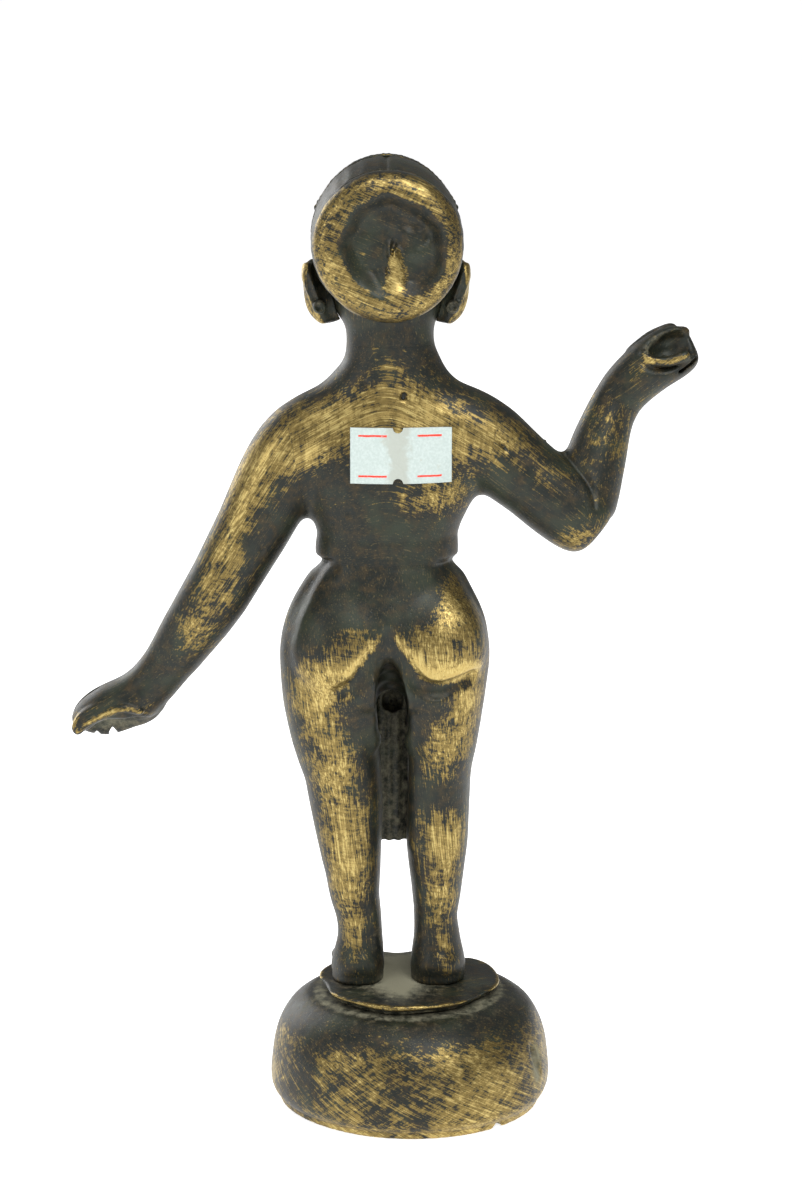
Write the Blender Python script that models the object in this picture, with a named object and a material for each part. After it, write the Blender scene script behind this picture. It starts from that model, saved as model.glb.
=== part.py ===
"""A cast brass figure of a standing woman on a round, hollow plinth.

The left arm hangs, the right hand is raised to hold a flower, and a disc is carried behind the
head. Castings meet at flat seams held by round dowels, and the feet are pegged through the plinth.

Frame: +Z up, the figure faces -Y, its left arm is at +X, and the origin is at the level of the
plinth's underside, below the middle of the arm span. Numbers are millimetres; every mesh is
turned into metres by MM.
"""
import math

import bmesh
import bpy
from mathutils import Matrix, Vector
from mathutils.bvhtree import BVHTree

MM = 0.001
GAP = 0.3                 # clearance left where two pieces touch

# Plinth
PLINTH_X = -6.1
BASE_RADIUS = 30.4
BASE_FOOT_RADIUS = 26.7
DOME_TOP = 24.0
WALL = 2.8
DISC_X = PLINTH_X + 0.4   # the disc sits a little off the dome's centre
DISC_RADIUS = 19.8
DISC_TOP = 26.5

# Figure: its own centre line is x = 0 in the stations, and stands at FIGURE_X
FIGURE_X = -1.0
WAIST = 119.85
NECK = 165.5
WAIST_DOWEL = 3.2
SHOULDER_DOWEL = 2.6
WRIST_DOWEL = 1.8
FOOT_PEG = 2.5
FOOT_PEG_X = (6.4, -11.2)
FOOT_PEG_Y = -1.0

# Skull: centre and radii of the ellipsoid that the disc, the band and the ears are set against
SKULL = (0.0, -1.0, 186.0)
SKULL_RADII = (15.0, 15.2, 17.4)
HAIR_DISC_RADIUS = 15.6
HAIR_DISC_BACK = 17.0
HAIR_DISC_FRONT = 11.3
HAIR_DISC_CENTRE = (-0.5, 186.8)
HAIR_RIM_ROLL = 2.2       # radius of the rolled rim
HAIR_RECESS = 2.7         # depth of the sunk middle
BAND_Y = -4.5
BAND_THICKNESS = 0.6

# Paper label between the shoulders
LABEL_CENTRE = (-3.1, 143.0)
LABEL_SIZE = (21.0, 12.0)
LABEL_NOTCH = 1.1
PAPER = 0.25

# Rounded forms that are melted into the castings or scooped out of them: centre and radii
LEFT_BUTTOCK = ((9.8, 6.4, 99.5), (10.3, 8.6, 9.8))
RIGHT_BUTTOCK = ((-9.4, 6.4, 99.5), (10.3, 8.6, 9.8))
LEFT_BREAST = ((7.6, -7.9, 139.5), (8.2, 6.6, 8.2))
RIGHT_BREAST = ((-8.2, -7.9, 139.5), (8.2, 6.6, 8.2))
FACE = ((-0.2, -6.2, 180.0), (12.0, 10.2, 13.0))
JAW = ((-0.2, -6.8, 174.6), (9.2, 8.4, 8.0))
NAPE = ((-0.4, 1.0, 174.6), (11.8, 9.4, 8.0))
PALM = ((57.5, -3.2, 80.6), (7.0, 5.0, 4.4))
CUP = ((-59.9, -1.6, 163.4), (6.2, 6.4, 3.8))
CUP_TILT = 27

# Seams between castings: a point on each plane and its normal, pointing away from the chest
LEFT_SHOULDER = (Vector((18.8, 0.2, 141.0)), Vector((0.983, 0, -0.184)).normalized())
LEFT_WRIST = (Vector((47.4, -4.2, 95.6)), Vector((0.612, 0, -0.791)).normalized())
RIGHT_SHOULDER = (Vector((-21.8, 0.2, 142.5)), Vector((-0.979, 0, -0.204)).normalized())
ELBOW = (Vector((-40.2, -1.0, 134.6)), Vector((-0.918, 0, 0.397)).normalized())
RIGHT_WRIST = (Vector((-48.9, -6.0, 152.6)), Vector((-0.555, 0, 0.832)).normalized())
WAIST_SEAM = (Vector((0.0, 0.3, WAIST)), Vector((0, 0, 1)))
NECK_SEAM = (Vector((-0.8, 1.0, NECK)), Vector((0, 0, 1)))

# Stations along each form: x, y, z, half width across the form, half depth from front to back
HIPS = [
    (-0.1, 0.3, 128, 14.9, 10.4), (-0.1, 0.3, 121, 14.6, 10.4), (-0.1, 0.3, 115, 17.5, 11.4),
    (0.0, 0.6, 110, 20.3, 12.4), (0.1, 1.0, 105, 21.9, 13.4), (0.3, 1.2, 100, 22.5, 13.8),
    (0.5, 1.0, 95, 22.2, 13.4), (0.7, 0.5, 90, 21.4, 12.3),
]
LEFT_LEG = [
    (7.8, 0.0, 116, 6.0, 7.5), (9.6, 0.0, 108, 9.0, 10.6), (11.3, -0.4, 100, 11.0, 12.2),
    (12.3, -0.5, 92, 10.2, 12.0), (11.2, -0.5, 81, 9.4, 11.0), (9.4, -0.8, 73, 8.5, 9.8),
    (8.5, -0.8, 65, 7.9, 8.8), (7.9, 0.0, 57, 7.0, 8.2), (7.3, 0.3, 52, 6.3, 7.6),
    (7.0, 0.3, 46, 5.6, 6.6), (6.1, 0.2, 41, 5.0, 5.6), (5.8, 0.2, 36, 5.0, 5.3),
    (6.2, 0.0, 31, 5.9, 6.0), (6.5, -0.5, 27, 6.4, 6.8),
]
RIGHT_LEG = [
    (-7.8, 0.0, 116, 6.0, 7.5), (-9.6, 0.0, 108, 9.0, 10.6), (-11.0, -0.4, 100, 10.8, 12.2),
    (-12.4, -0.5, 92, 9.1, 12.0), (-12.1, -0.5, 81, 7.7, 11.0), (-11.4, -0.8, 73, 6.8, 9.8),
    (-11.1, -0.8, 65, 6.8, 8.8), (-10.9, 0.0, 57, 6.8, 8.2), (-10.8, 0.3, 52, 6.2, 7.6),
    (-10.8, 0.3, 46, 5.4, 6.6), (-10.6, 0.2, 41, 4.8, 5.6), (-10.9, 0.2, 36, 5.2, 5.3),
    (-11.0, 0.0, 31, 6.1, 6.0), (-11.1, -0.5, 27, 6.6, 6.8),
]
# A foot's stations run from heel to toe: half width from side to side, half depth up and down
LEFT_FOOT = [
    (6.1, 6.5, 29.6, 3.6, 3.0), (6.1, 3.0, 30.2, 5.3, 3.9), (6.4, -3.0, 30.0, 5.4, 3.7),
    (6.7, -8.0, 29.1, 5.7, 2.9), (7.0, -12.0, 28.5, 5.7, 2.2), (7.0, -14.6, 28.1, 4.8, 1.8),
]
RIGHT_FOOT = [
    (-11.0, 6.5, 29.6, 3.7, 3.0), (-11.0, 3.0, 30.2, 5.4, 3.9), (-11.1, -3.0, 30.0, 5.5, 3.7),
    (-11.4, -8.0, 29.1, 5.8, 2.9), (-11.7, -12.0, 28.5, 5.8, 2.2), (-11.7, -14.6, 28.1, 4.9, 1.8),
]
CHEST = [
    (0.0, 0.3, 112, 16.0, 10.6), (0.0, 0.3, 121, 15.0, 10.4), (-0.1, 0.2, 126, 15.1, 10.8),
    (-0.2, 0.0, 131, 17.4, 11.4), (-0.4, -0.3, 137, 20.0, 12.0), (-0.6, -0.3, 143, 22.0, 11.6),
    (-0.8, 0.0, 148, 21.5, 10.4), (-1.1, 0.3, 152, 19.2, 9.3), (-1.1, 0.5, 155, 16.8, 8.7),
    (-1.1, 0.7, 158, 13.4, 8.4), (-1.1, 0.9, 161.5, 10.5, 8.2), (-0.8, 1.0, 166, 9.2, 8.2),
    (-0.7, 0.5, 174, 9.8, 9.0),
]
LEFT_ARM = [
    (9.4, 0.3, 148, 9.5, 8.5), (17.2, 0.3, 144.2, 9.5, 8.6), (22.5, 0.2, 137, 8.9, 8.3),
    (26.6, 0.2, 129, 8.3, 8.0), (30.0, 0.3, 122.8, 7.9, 7.7), (34.1, 0.2, 115.4, 7.4, 7.3),
    (37.6, -0.4, 109.6, 7.2, 7.0), (41.0, -1.6, 104.4, 6.8, 6.5), (44.3, -3.0, 99.3, 6.2, 5.9),
    (47.2, -4.2, 95.2, 5.6, 5.5), (49.6, -5.0, 91.8, 5.3, 5.3),
]
LEFT_HAND = [
    (46.2, -3.9, 96.5, 5.7, 5.5), (49.6, -5.0, 92.0, 5.5, 5.8), (53.2, -5.6, 88.2, 5.7, 6.6),
    (57.2, -6.0, 86.1, 5.7, 7.2), (61.2, -6.2, 84.6, 5.2, 7.2), (64.4, -6.2, 82.7, 4.2, 6.6),
    (65.8, -6.0, 80.6, 2.8, 5.6),
]
RIGHT_UPPER_ARM = [
    (-10.6, 0.3, 149, 9.5, 8.5), (-19.1, 0.3, 145.5, 9.3, 8.5), (-25.1, 0.3, 140.8, 8.7, 8.2),
    (-31.1, 0.3, 136, 8.1, 7.9), (-36.1, 0.2, 132, 8.3, 7.9), (-40.3, 0.0, 128.8, 8.2, 7.8),
    (-43.0, -0.2, 126.7, 7.6, 7.0), (-44.6, -0.4, 125.5, 6.0, 5.6),
]
RIGHT_FOREARM = [
    (-41.3, -1.0, 129.4, 7.2, 6.8), (-42.7, -2.0, 134, 7.0, 6.8), (-43.9, -3.0, 139, 6.7, 6.4),
    (-45.2, -4.0, 144, 6.2, 5.9), (-46.9, -5.2, 148.8, 5.5, 5.3), (-48.9, -6.0, 152.6, 5.3, 5.1),
    (-50.9, -6.6, 155.6, 5.3, 5.2),
]
RIGHT_HAND = [
    (-49.6, -6.2, 153.6, 5.3, 5.2), (-52.8, -6.8, 157.0, 5.7, 5.8), (-56.7, -7.0, 160.1, 5.9, 6.2),
    (-60.2, -7.0, 162.2, 5.9, 6.2), (-63.1, -7.0, 163.6, 5.2, 5.6), (-64.8, -7.0, 164.4, 3.9, 4.6),
]
NECK_CORE = [
    (-0.9, 0.9, 160, 10.4, 8.2), (-0.8, 1.0, 166, 9.2, 8.2), (-0.7, 0.5, 176, 9.8, 9.0),
]
LEFT_EAR = [
    (16.2, 2.0, 182.2, 1.1, 1.8), (16.2, 2.6, 179.6, 1.4, 3.6), (15.1, 2.6, 176.3, 1.4, 3.8),
    (13.7, 2.3, 172.8, 1.4, 3.1), (12.6, 2.0, 170.2, 1.0, 1.8),
]
DRAPE = [
    (-0.2, -9.2, 55.3, 5.6, 3.6), (-0.3, -10.0, 66, 5.6, 4.6), (-0.2, -10.6, 80, 5.6, 4.8),
    (0.0, -11.0, 95, 5.4, 4.6), (0.1, -10.4, 108, 5.0, 3.8), (0.0, -8.6, 117.0, 4.6, 3.4),
]


def clear_scene():
    for item in list(bpy.data.objects):
        bpy.data.objects.remove(item, do_unlink=True)


def make_material(name, colour, roughness, metallic):
    material = bpy.data.materials.new(name)
    material.use_nodes = True
    shader = material.node_tree.nodes["Principled BSDF"]
    shader.inputs["Base Color"].default_value = (*colour, 1.0)
    shader.inputs["Roughness"].default_value = roughness
    shader.inputs["Metallic"].default_value = metallic
    return material


def to_object(name, bm):
    """A scene object that holds the bmesh, with its faces pointing out."""
    bmesh.ops.recalc_face_normals(bm, faces=bm.faces)
    mesh = bpy.data.meshes.new(name)
    bm.to_mesh(mesh)
    bm.free()
    item = bpy.data.objects.new(name, mesh)
    bpy.context.scene.collection.objects.link(item)
    return item


def moved(item, x):
    item.data.transform(Matrix.Translation((x * MM, 0, 0)))
    return item


def remove(*items):
    for item in items:
        bpy.data.objects.remove(item, do_unlink=True)


def bake_modifiers(item):
    """Replace the object's mesh by what its modifiers make of it."""
    depsgraph = bpy.context.evaluated_depsgraph_get()
    mesh = bpy.data.meshes.new_from_object(item.evaluated_get(depsgraph))
    item.modifiers.clear()
    item.data = mesh


def through(stations, between):
    """The stations with extra ones between them, on a smooth curve through all of them."""
    result = []
    last = len(stations) - 1
    for i in range(last):
        before = stations[max(i - 1, 0)]
        after = stations[min(i + 2, last)]
        for step in range(between):
            t = step / between
            result.append(tuple(
                0.5 * (2 * b + (c - a) * t + (2 * a - 5 * b + 4 * c - d) * t ** 2
                       + (3 * b - a - 3 * c + d) * t ** 3)
                for a, b, c, d in zip(before, stations[i], stations[i + 1], after)))
    result.append(tuple(stations[last]))
    return result


def limb(name, stations, depth_axis=(0, 1, 0), sides=24, between=3):
    """A closed tube of elliptical rings through the stations."""
    rings = through(stations, between)
    bm = bmesh.new()
    loops = []
    for i, ring in enumerate(rings):
        tangent = Vector(rings[min(i + 1, len(rings) - 1)][:3]) - Vector(rings[max(i - 1, 0)][:3])
        tangent.normalize()
        depth = Vector(depth_axis)
        depth = (depth - depth.dot(tangent) * tangent).normalized()
        width = depth.cross(tangent)
        loop = []
        for side in range(sides):
            angle = 2 * math.pi * side / sides
            offset = width * ring[3] * math.cos(angle) + depth * ring[4] * math.sin(angle)
            loop.append(bm.verts.new((Vector(ring[:3]) + offset) * MM))
        loops.append(loop)
    for lower, upper in zip(loops, loops[1:]):
        for side in range(sides):
            after = (side + 1) % sides
            bm.faces.new((lower[side], lower[after], upper[after], upper[side]))
    bm.faces.new(loops[0])
    bm.faces.new(loops[-1])
    return to_object(name, bm)


def ball(name, centre, radii, segments=24):
    bm = bmesh.new()
    bmesh.ops.create_uvsphere(bm, u_segments=segments, v_segments=segments // 2, radius=1.0)
    place = Matrix.Translation(Vector(centre) * MM)
    bmesh.ops.transform(bm, matrix=place @ Matrix.Diagonal((*[r * MM for r in radii], 1.0)),
                        verts=bm.verts)
    return to_object(name, bm)


def rod(name, start, end, radius, segments=14):
    start = Vector(start)
    along = Vector(end) - start
    bm = bmesh.new()
    bmesh.ops.create_cone(bm, cap_ends=True, segments=segments, radius1=radius * MM,
                          radius2=radius * MM, depth=along.length * MM)
    turn = along.to_track_quat("Z", "Y").to_matrix().to_4x4()
    middle = Matrix.Translation((start + along / 2) * MM)
    bmesh.ops.transform(bm, matrix=middle @ turn, verts=bm.verts)
    return to_object(name, bm)


def turned(name, profile, segments):
    """A solid of revolution about Z from a closed profile of (radius, height) points."""
    bm = bmesh.new()
    corners = [bm.verts.new((radius * MM, 0, height * MM)) for radius, height in profile]
    edges = [bm.edges.new(pair) for pair in zip(corners, corners[1:] + corners[:1])]
    bmesh.ops.spin(bm, geom=corners + edges, cent=(0, 0, 0), axis=(0, 0, 1),
                   angle=2 * math.pi, steps=segments, use_duplicate=False)
    bmesh.ops.remove_doubles(bm, verts=bm.verts, dist=1e-6)
    return to_object(name, bm)


def joined(name, items):
    """One object that holds the meshes of all the items, which may still overlap."""
    bm = bmesh.new()
    for item in items:
        bm.from_mesh(item.data)
    remove(*items)
    mesh = bpy.data.meshes.new(name)
    bm.to_mesh(mesh)
    bm.free()
    result = bpy.data.objects.new(name, mesh)
    bpy.context.scene.collection.objects.link(result)
    return result


def fused(name, items, triangles, voxel=1.0, smoothing=6):
    """The items melted into one smooth casting of about the given number of triangles."""
    body = joined(name, items)
    remesh = body.modifiers.new("melt", "REMESH")
    remesh.mode = "VOXEL"
    remesh.voxel_size = voxel * MM
    smooth = body.modifiers.new("smooth", "SMOOTH")
    smooth.factor = 0.5
    smooth.iterations = smoothing
    bake_modifiers(body)
    reduce = body.modifiers.new("reduce", "DECIMATE")
    reduce.ratio = min(1.0, triangles / (2 * len(body.data.polygons)))
    bake_modifiers(body)
    return body


def boolean(target, cutter, operation):
    """Apply a Boolean with the cutter, which is used up."""
    step = target.modifiers.new("boolean", "BOOLEAN")
    step.object = cutter
    step.operation = operation
    step.solver = "EXACT"
    step.use_self = True
    bake_modifiers(target)
    remove(cutter)


def side_of(source, name, point, normal, gap=GAP):
    """A copy of the part of the source that lies where the normal points, closed by a flat face."""
    bm = bmesh.new()
    bm.from_mesh(source.data)
    plane = (Vector(point) + Vector(normal).normalized() * gap / 2) * MM
    cut = bmesh.ops.bisect_plane(bm, geom=bm.verts[:] + bm.edges[:] + bm.faces[:], dist=1e-7,
                                 plane_co=plane, plane_no=normal, clear_inner=True)
    rim = [edge for edge in cut["geom_cut"] if isinstance(edge, bmesh.types.BMEdge)]
    bmesh.ops.holes_fill(bm, edges=rim)
    return to_object(name, bm)


def split(source, name, plane):
    """Cut the source in two at a plane: returns the near part and the part beyond it."""
    point, normal = plane
    beyond = side_of(source, name, point, normal)
    near = side_of(source, source.name, point, -normal)
    near_name = source.name
    remove(source)
    near.name = near_name
    largest_shell(beyond)
    return near, beyond


def largest_shell(item):
    """Keep only the biggest connected piece of the object's mesh."""
    bm = bmesh.new()
    bm.from_mesh(item.data)
    left = set(bm.verts)
    shells = []
    while left:
        shell = {left.pop()}
        front = list(shell)
        while front:
            for edge in front.pop().link_edges:
                for vert in edge.verts:
                    if vert in left:
                        left.remove(vert)
                        shell.add(vert)
                        front.append(vert)
        shells.append(shell)
    shells.sort(key=len)
    for shell in shells[:-1]:
        bmesh.ops.delete(bm, geom=list(shell), context="VERTS")
    bm.to_mesh(item.data)
    bm.free()


def dowel(male, female, seam, radius, length):
    """A round dowel standing out of one piece across a seam, in a socket in the other."""
    middle, normal = seam
    foot = middle - 2 * normal
    boolean(male, rod("dowel", foot, middle + normal * length, radius), "UNION")
    boolean(female, rod("socket", foot, middle + normal * (length + GAP), radius + GAP),
            "DIFFERENCE")


def dome():
    """The plinth: a thick bell with an inward-curving foot, hollow and open underneath."""
    outer = through([(BASE_FOOT_RADIUS, 0), (29.8, 2.6), (BASE_RADIUS, 5.6), (30.1, 9.5),
                     (29.5, 13.5), (28.2, 17.3), (26.0, 20.9), (22.4, 23.3)], 2)
    outer.append((18.0, DOME_TOP))
    outer.append((0, DOME_TOP))
    ceiling = DOME_TOP - WALL
    inner = [(0, ceiling), (17.0, ceiling - 0.8), (22.0, 18.0), (25.0, 14.0),
             (27.0, 7.5), (26.4, 3.6), (BASE_FOOT_RADIUS - 2.6, 0)]
    return moved(turned("plinth_dome", outer + inner, 48), PLINTH_X)


def step():
    """The thin disc that the figure stands on, with a groove under its rim."""
    low = DOME_TOP + GAP
    profile = [(0, DISC_TOP), (DISC_RADIUS - 0.4, DISC_TOP), (DISC_RADIUS, DISC_TOP - 0.3),
               (DISC_RADIUS, DISC_TOP - 0.9), (DISC_RADIUS - 1.5, DISC_TOP - 1.2),
               (DISC_RADIUS - 1.5, low), (0, low)]
    return moved(turned("plinth_step", profile, 56), DISC_X)


def legs():
    """Hips, legs and feet as one casting, cut level at the soles and at the waist."""
    hips = [limb("hips", HIPS),
            ball("left_buttock", *LEFT_BUTTOCK), ball("right_buttock", *RIGHT_BUTTOCK)]
    shanks = [limb("left_leg", LEFT_LEG), limb("right_leg", RIGHT_LEG)]
    feet = [limb("left_foot", LEFT_FOOT, (0, 0, 1)), limb("right_foot", RIGHT_FOOT, (0, 0, 1))]
    body = fused("lower_body", hips + shanks + feet, 2000)
    sole = side_of(body, "sole_cut", (0, 0, DISC_TOP + GAP), Vector((0, 0, 1)), gap=0)
    lower = side_of(sole, "lower_body", (0, 0, WAIST), Vector((0, 0, -1)))
    remove(body, sole)
    lower.name = "lower_body"
    return lower


def foot_pegs(lower, disc, base):
    """Pegs under the feet that pass through the disc and the plinth's roof."""
    for foot_x in FOOT_PEG_X:
        x = foot_x + FIGURE_X
        top = (x, FOOT_PEG_Y, DISC_TOP + 3)
        bottom = (x, FOOT_PEG_Y, DOME_TOP - WALL - 1.5)
        boolean(lower, rod("peg", top, bottom, FOOT_PEG), "UNION")
        for pierced in (disc, base):
            low = (x, FOOT_PEG_Y, DOME_TOP - WALL - 5)
            boolean(pierced, rod("hole", top, low, FOOT_PEG + GAP), "DIFFERENCE")


def upper_casting():
    """Chest, neck, arms and hands as one form, which is then cut at the seams."""
    bust = [ball("left_breast", *LEFT_BREAST), ball("right_breast", *RIGHT_BREAST)]
    arms = [limb("left_arm", LEFT_ARM), limb("left_hand", LEFT_HAND),
            limb("right_upper_arm", RIGHT_UPPER_ARM), limb("right_forearm", RIGHT_FOREARM),
            limb("right_hand", RIGHT_HAND)]
    body = fused("torso", [limb("chest", CHEST)] + bust + arms, 4200, voxel=0.9)
    boolean(body, ball("palm", *PALM, segments=16), "DIFFERENCE")
    cup = ball("cup", *CUP, segments=18)
    boolean(body, turn_about_y(cup, CUP[0], CUP_TILT), "DIFFERENCE")
    return body


def turn_about_y(item, centre, degrees):
    centre = Vector(centre) * MM
    turn = Matrix.Rotation(math.radians(degrees), 4, "Y")
    item.data.transform(Matrix.Translation(centre) @ turn @ Matrix.Translation(-centre))
    return item


def upper_pieces():
    """The chest and the pieces of both arms."""
    body = upper_casting()
    body, left_arm = split(body, "left_arm", LEFT_SHOULDER)
    left_arm, left_hand = split(left_arm, "left_hand", LEFT_WRIST)
    body, right_arm = split(body, "right_upper_arm", RIGHT_SHOULDER)
    right_arm, forearm = split(right_arm, "right_forearm", ELBOW)
    forearm, right_hand = split(forearm, "right_hand", RIGHT_WRIST)
    neck_cut = side_of(body, "neck_cut", NECK_SEAM[0], -NECK_SEAM[1])
    torso = side_of(neck_cut, "torso", *WAIST_SEAM)
    remove(body, neck_cut)
    torso.name = "torso"
    dowel(torso, left_arm, LEFT_SHOULDER, SHOULDER_DOWEL, 5.0)
    dowel(left_arm, left_hand, LEFT_WRIST, WRIST_DOWEL, 3.6)
    dowel(torso, right_arm, RIGHT_SHOULDER, SHOULDER_DOWEL, 5.0)
    dowel(right_arm, forearm, ELBOW, WRIST_DOWEL, 3.6)
    dowel(forearm, right_hand, RIGHT_WRIST, WRIST_DOWEL, 3.6)
    return torso, [left_arm, left_hand, right_arm, forearm, right_hand]


def head():
    """Skull, face, jaw and nape, cut flat where the hair disc sits."""
    forms = [ball("skull", SKULL, SKULL_RADII, segments=32), ball("face", *FACE),
             ball("jaw", *JAW), ball("nape", *NAPE), limb("neck", NECK_CORE)]
    solid = fused("skull_form", forms, 900, smoothing=4)
    back_cut = side_of(solid, "back_cut", (0, HAIR_DISC_FRONT - GAP, 0), Vector((0, -1, 0)), gap=0)
    result = side_of(back_cut, "head", *NECK_SEAM)
    remove(solid, back_cut)
    result.name = "head"
    return result


def hair_disc():
    """A round disc with a rolled rim and a sunk middle, facing backwards."""
    rim = HAIR_DISC_RADIUS
    back = HAIR_DISC_BACK
    front = HAIR_DISC_FRONT
    roll = HAIR_RIM_ROLL
    floor = back - HAIR_RECESS
    profile = [(0, floor), (rim - 5.0, floor), (rim - 4.2, floor + 0.8)]
    for turn in range(7):
        angle = math.radians(150 - 30 * turn)
        profile.append((rim - roll + roll * math.cos(angle), back - roll + roll * math.sin(angle)))
    profile += [(rim - 1.4, front + 0.4), (rim - 2.4, front), (0, front)]
    disc = turned("hair_disc", profile, 40)
    upright = Matrix.Rotation(-math.pi / 2, 4, "X")
    x, z = HAIR_DISC_CENTRE
    disc.data.transform(Matrix.Translation(Vector((x, 0, z)) * MM) @ upright)
    return disc


def hair_band(skull):
    """A band laid over the crown from ear to ear, on the surface of the skull."""
    surface = surface_of(skull)
    middle = Vector((SKULL[0], BAND_Y, SKULL[2]))
    stations = []
    for index in range(17):
        angle = math.radians(6 + index * 168 / 16)
        outward = Vector((math.cos(angle), 0, math.sin(angle)))
        hit = surface.ray_cast((middle + 40 * outward) * MM, -outward)[0] / MM
        on_skull = hit + outward * (GAP + BAND_THICKNESS)
        stations.append((*on_skull, BAND_THICKNESS, 1.6))
    return limb("hair_band", stations, sides=10, between=1)


def surface_of(item):
    return BVHTree.FromObject(item, bpy.context.evaluated_depsgraph_get())


def mirrored(stations):
    return [(-x, *rest) for x, *rest in stations]


def ears():
    """Leaf-shaped ears beside the jaw, each with a round stud behind its lobe."""
    pieces = []
    for side, stations in (("left", LEFT_EAR), ("right", mirrored(LEFT_EAR))):
        pieces.append(limb(f"{side}_ear", stations, sides=16, between=2))
        x, y, z = stations[3][:3]
        pieces.append(ball(f"{side}_ear_stud", (x, y + 5.2, z + 0.8), (1.5, 1.5, 1.5), 14))
    return pieces


def drape(lower):
    """The pleated cloth end that hangs in front of the legs, fitted to them from outside."""
    cloth = limb("front_drape", DRAPE, sides=16, between=2)
    skin = lower.copy()
    skin.data = lower.data.copy()
    bpy.context.scene.collection.objects.link(skin)
    swell = skin.modifiers.new("swell", "DISPLACE")
    swell.strength = GAP * MM
    swell.mid_level = 0.0
    bake_modifiers(skin)
    boolean(cloth, skin, "DIFFERENCE")
    largest_shell(cloth)
    return cloth


def price_label(torso):
    """A paper label with a round notch in the middle of each long edge, stuck between the shoulders."""
    width, height = LABEL_SIZE
    behind_the_back = 20.0
    bm = bmesh.new()
    bmesh.ops.create_grid(bm, x_segments=14, y_segments=8, size=0.5)
    for vert in bm.verts:
        x = vert.co.x * width
        z = vert.co.y * height
        notch = max(0.0, 1.0 - (x / LABEL_NOTCH) ** 2)
        z -= math.copysign(math.sqrt(notch), z) * (abs(z) > height / 2 - 0.1)
        vert.co = Vector((LABEL_CENTRE[0] + x, behind_the_back, LABEL_CENTRE[1] + z)) * MM
    surface = surface_of(torso)
    for vert in bm.verts:
        hit = surface.ray_cast(vert.co, Vector((0, -1, 0)))[0]
        vert.co.y = hit.y + GAP * MM
    label = to_object("price_label", bm)
    paper = label.modifiers.new("thickness", "SOLIDIFY")
    paper.thickness = PAPER * MM
    paper.offset = 0.0
    bake_modifiers(label)
    return label


def finish(pieces):
    """Give each piece its material and smooth shading."""
    brass = (0.30, 0.22, 0.10)
    worn = (0.46, 0.34, 0.14)
    for piece in pieces:
        colour = worn if piece.name.startswith("plinth") else brass
        material = make_material(f"{piece.name}_brass", colour, 0.42, 1.0)
        if piece.name == "price_label":
            material = make_material("label_paper", (0.62, 0.58, 0.44), 0.8, 0.0)
        piece.data.materials.clear()
        piece.data.materials.append(material)
        piece.data.shade_smooth()
        piece.data.set_sharp_from_angle(angle=math.radians(40))


def build():
    clear_scene()
    base = dome()
    disc = step()
    lower = legs()
    cloth = drape(lower)
    torso, arms = upper_pieces()
    skull = head()
    dowel(lower, torso, WAIST_SEAM, WAIST_DOWEL, 6.0)
    dowel(torso, skull, NECK_SEAM, SHOULDER_DOWEL, 5.0)
    figure = [lower, cloth, torso, skull, hair_disc(), hair_band(skull), price_label(torso)]
    figure += arms + ears()
    for piece in figure:
        moved(piece, FIGURE_X)
    foot_pegs(lower, disc, base)
    finish([base, disc] + figure)


build()
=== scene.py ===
"""Final look of a cast brass figure that stands on a round plinth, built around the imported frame.

The large forms are read from the frame's own solids as a smooth distance field. Fine modelling
(face, fingers, folds, belt, creases, casting flaws) is added to that field, which is then meshed,
cut at the castings' seams and given a worn-patina material.

Inside this script lengths are millimetres in the figure's frame: x from the figure's centre line,
y and z as in the row's frame. They become metres when a mesh is made.
"""
import math

import bmesh
import bpy
import numpy as np
from mathutils import Matrix, Vector
from mathutils.bvhtree import BVHTree


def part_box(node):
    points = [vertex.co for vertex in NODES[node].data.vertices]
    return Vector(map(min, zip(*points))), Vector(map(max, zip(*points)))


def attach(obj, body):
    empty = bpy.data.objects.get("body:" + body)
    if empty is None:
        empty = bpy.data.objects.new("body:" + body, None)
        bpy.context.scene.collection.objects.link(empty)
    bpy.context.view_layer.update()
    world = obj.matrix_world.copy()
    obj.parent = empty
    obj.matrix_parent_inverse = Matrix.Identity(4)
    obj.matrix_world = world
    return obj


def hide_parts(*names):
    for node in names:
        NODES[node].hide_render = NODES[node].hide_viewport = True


MM = 0.001

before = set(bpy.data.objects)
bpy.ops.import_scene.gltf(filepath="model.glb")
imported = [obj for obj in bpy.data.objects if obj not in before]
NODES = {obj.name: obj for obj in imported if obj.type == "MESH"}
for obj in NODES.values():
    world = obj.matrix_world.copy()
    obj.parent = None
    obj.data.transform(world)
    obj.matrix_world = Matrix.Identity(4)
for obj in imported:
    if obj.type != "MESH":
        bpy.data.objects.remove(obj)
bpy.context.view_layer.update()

SWELL = 0.25                          # closes the gaps between the solids before they are melted
FIELD_PITCH = 1.5                     # spacing of the samples that carry the large forms
BODY_STEP = 0.42    # mesh sizes
HEAD_STEP = 0.28
HAND_STEP = 0.26
TRIM_STEP = 0.25

CASTINGS = ["lower_body", "torso", "head", "left_arm", "left_hand", "right_upper_arm",
            "right_forearm", "right_hand"]


# ---------------------------------------------------------------- places read from the frame

def row_box(node):
    low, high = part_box(node)
    return np.array(low) / MM, np.array(high) / MM


HEAD_LOW, HEAD_HIGH = row_box("head")
FIGURE_X = (HEAD_LOW[0] + HEAD_HIGH[0]) / 2
FIGURE_ORIGIN = np.array([FIGURE_X, 0.0, 0.0])


def figure_box(node):
    low, high = row_box(node)
    return low - FIGURE_ORIGIN, high - FIGURE_ORIGIN


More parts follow.
